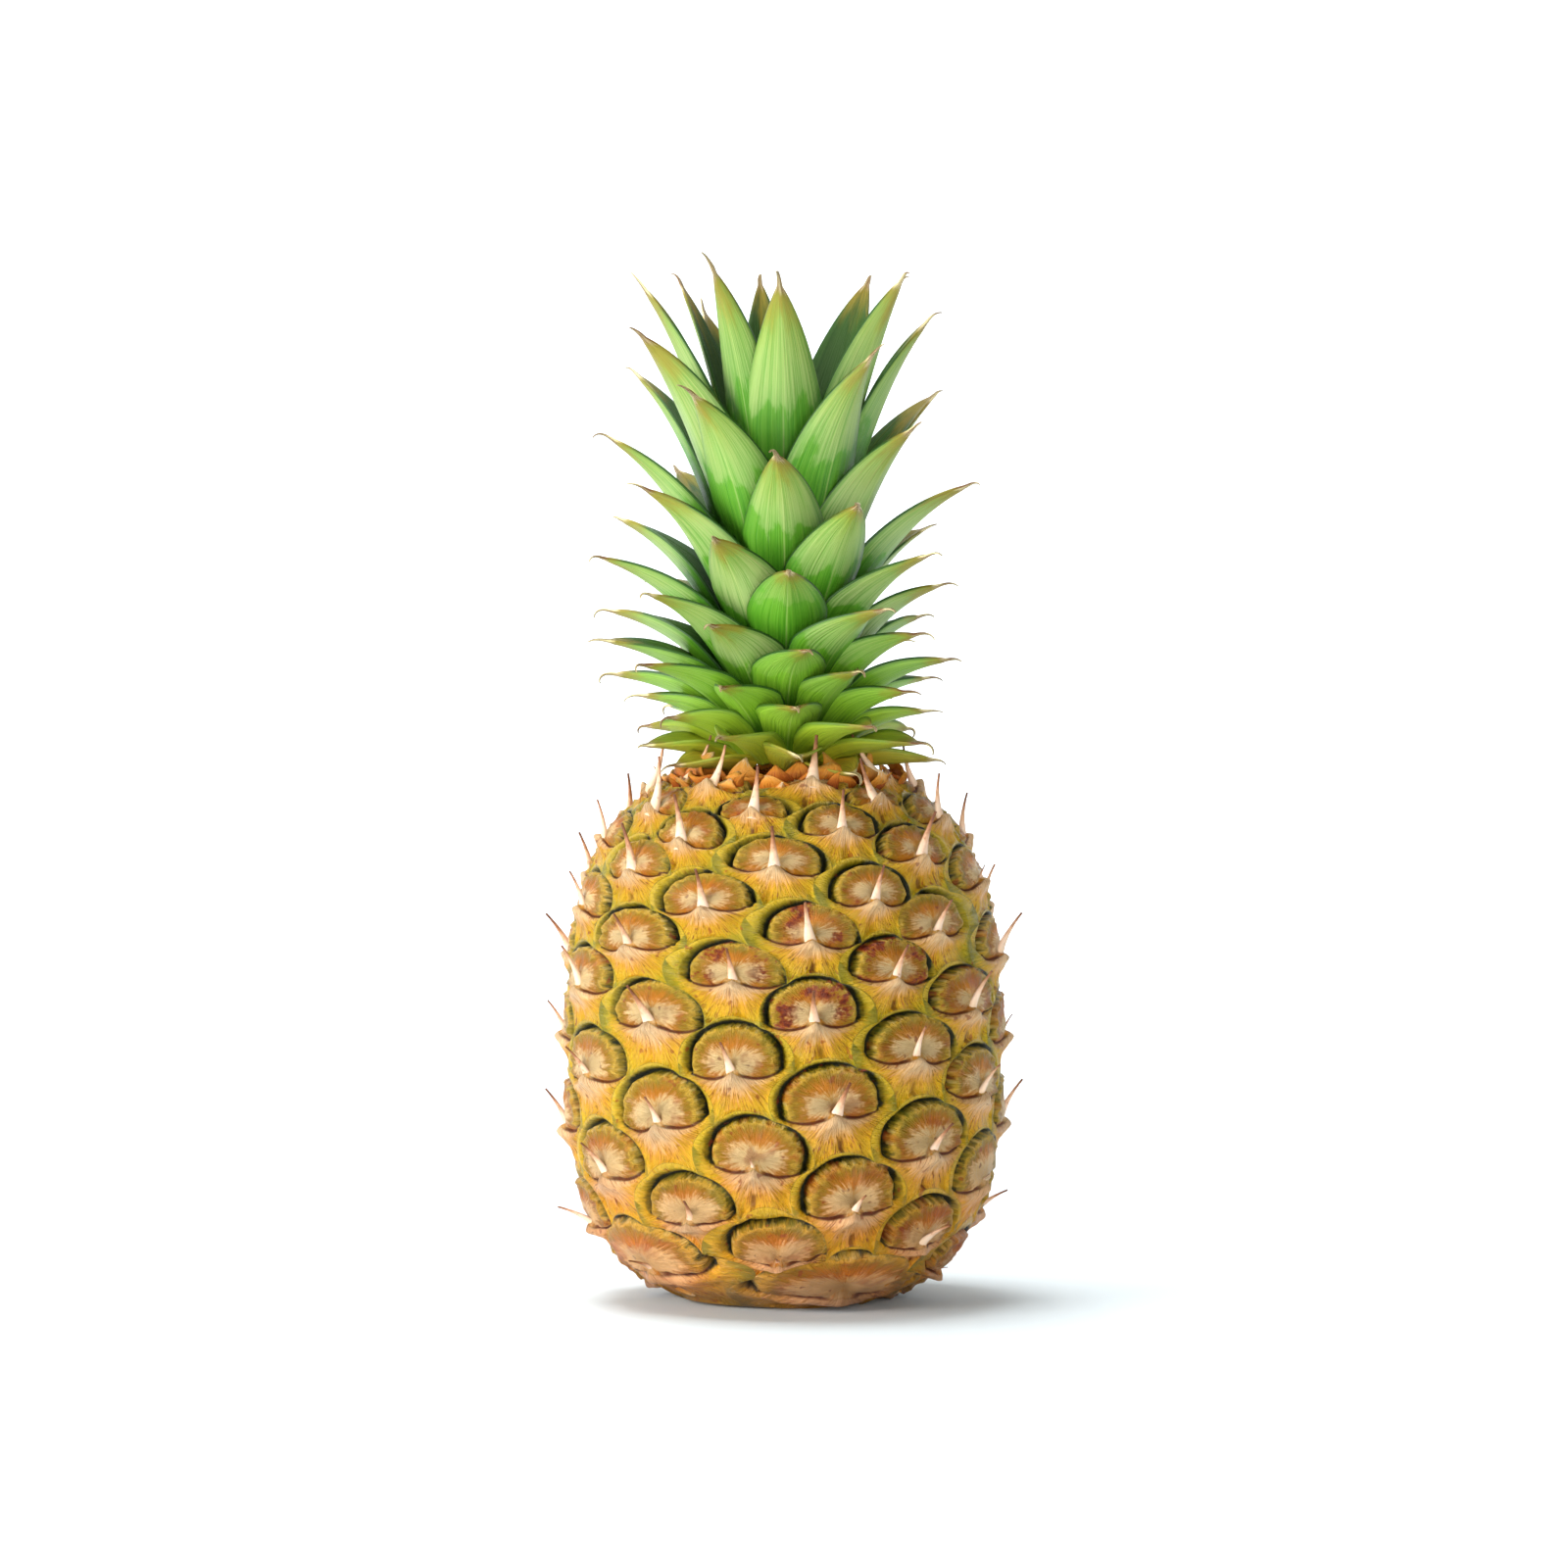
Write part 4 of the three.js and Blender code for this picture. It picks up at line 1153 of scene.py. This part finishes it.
# Collar: three rows of wide, dried, swollen bracts round the foot of the crown, with a ragged
# row of thin ones outside them on the shoulder.
COLLAR_ROWS = ({"radius": 20.0, "count": 11, "rise": 9.0, "lean": 2.5, "bulge": 8.0, "width": 15},
               {"radius": 24.0, "count": 13, "rise": 6.5, "lean": 2.5, "bulge": 7.0, "width": 14},
               {"radius": 28.0, "count": 13, "rise": 5.0, "lean": 3.5, "bulge": 4.5, "width": 11})
SHOULDER_ROWS = ({"radius": 31.0, "count": 15, "rise": 6.0, "lean": 3.0, "bulge": -1.0, "width": 4.5},)
BRACT = {"thickness": 0.8, "steps": 12, "sink": 0.9}


def top_height(radius):
    """The height of the body's shoulder at a radius."""
    upper = SECTION_STEPS // 2
    height = np.interp(-radius, -SECTION[0][upper:], SECTION[1][upper:])
    return min(height, SEAT_HEIGHT)


def grow_bracts(name, rows, seed, material):
    whim = np.random.default_rng(seed)
    blades = Blades()
    shares = np.linspace(0, 1, BRACT["steps"] + 1)
    for row in rows:
        for number in range(row["count"]):
            azimuth = (number + whim.uniform(-0.35, 0.35)) / row["count"] * 2 * math.pi
            radius = row["radius"] + whim.uniform(-0.9, 0.9)
            foot = np.array([radius, top_height(radius) - BRACT["sink"]])
            tip = foot + (row["lean"] * whim.uniform(0.4, 1.4), row["rise"] * whim.uniform(0.7, 1.25))
            bend = mix(foot, tip, whim.uniform(0.4, 0.9)) + (row["bulge"] * whim.uniform(0.5, 1.3), 0)
            line = bowed(foot, bend, tip, shares)
            width = row["width"] * whim.uniform(0.7, 1.1)
            half = np.maximum(0.5 * width * (1 - shares ** 1.8), 0.3)
            wall = 0.5 * np.minimum(BRACT["thickness"], half)
            look = {"sway": whim.uniform(-0.15, 0.15), "twist": whim.uniform(-0.8, 0.8),
                    "hollow": whim.uniform(-0.1, 0.9), "kind": whim.uniform(0, 1), "level": 0.0}
            blades.add(line, shares, azimuth, half, wall, look)
    return mesh_piece(name, np.concatenate(blades.points), blades.faces, material, blades.layers)


def bract_finish():
    finish = Finish("dry_bracts", specular=0.2)
    across, along = finish.uv("leaf")
    kind = finish.uv("kind")[0]
    vein = finish.noise(finish.vector(across * 5, along * 1.2, kind * 40), 2.4, 4)
    colour = finish.ramp(along * 0.8 + (vein - 0.5) * 0.9 + (kind - 0.5) * 0.5 + 0.1, [
        (0.0, "5A2008"), (0.3, "A85214"), (0.6, "CC8028"), (0.9, "DE9E4A"), (1.0, "EFCFA4")])
    colour = finish.tint(colour, finish.step(vein, 0.58, 0.68) * 0.6, "6E2A0C")
    return finish.done(colour, 0.42 + vein * 0.2, vein, 0.4)


dry_bract = bract_finish()
collar = grow_bracts("dry_collar", COLLAR_ROWS, 17, dry_bract)
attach(collar, "root")
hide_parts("collar")
shoulder = grow_bracts("shoulder_bracts", SHOULDER_ROWS, 19, dry_bract)
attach(shoulder, "root")


# Scraps: dried bract ends that peel from the lowest eyes, just above the ground. Each one
# follows the body down from its eye.
SCRAP = {"highest": 14, "length": 6.5, "width": 7.0, "thickness": 0.8, "steps": 10}


def grow_scraps(eyes, material):
    whim = np.random.default_rng(29)
    blades = Blades()
    shares = np.linspace(0, 1, SCRAP["steps"] + 1)
    for eye in eyes:
        along = eye["along"] - 8
        place, upward, outward = on_body(along, eye["azimuth"])
        if not 3 < place[2] < SCRAP["highest"]:
            continue
        heading = np.array([math.sin(eye["azimuth"]), -math.cos(eye["azimuth"]), 0])
        foot = np.array([np.hypot(place[0], place[1]), place[2]])
        down = -np.array([upward @ heading, upward[2]])
        out = np.array([outward @ heading, outward[2]])
        length = SCRAP["length"] * whim.uniform(0.6, 1.2)
        bend = foot + down * length * 0.5 + out * whim.uniform(0.5, 1.2)
        tip = foot + down * length + out * whim.uniform(0.2, 1.6)
        line = bowed(foot, bend, tip, shares)
        line[:, 1] = np.maximum(line[:, 1], 0.5)
        half = np.maximum(0.5 * SCRAP["width"] * whim.uniform(0.6, 1.1) * (1 - shares ** 1.6), 0.3)
        wall = 0.5 * np.minimum(SCRAP["thickness"], half)
        look = {"sway": whim.uniform(-0.12, 0.12), "twist": whim.uniform(-0.6, 0.6),
                "hollow": whim.uniform(0, 0.6), "kind": whim.uniform(0.3, 1), "level": 0.0}
        blades.add(line, shares, eye["azimuth"] + whim.uniform(-0.08, 0.08), half, wall, look)
    points = np.concatenate(blades.points)
    points[:, 2] = np.maximum(points[:, 2], 0)
    return mesh_piece("base_scraps", points, blades.faces, material, blades.layers)


scraps = grow_scraps(eyes, dry_bract)
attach(scraps, "root")
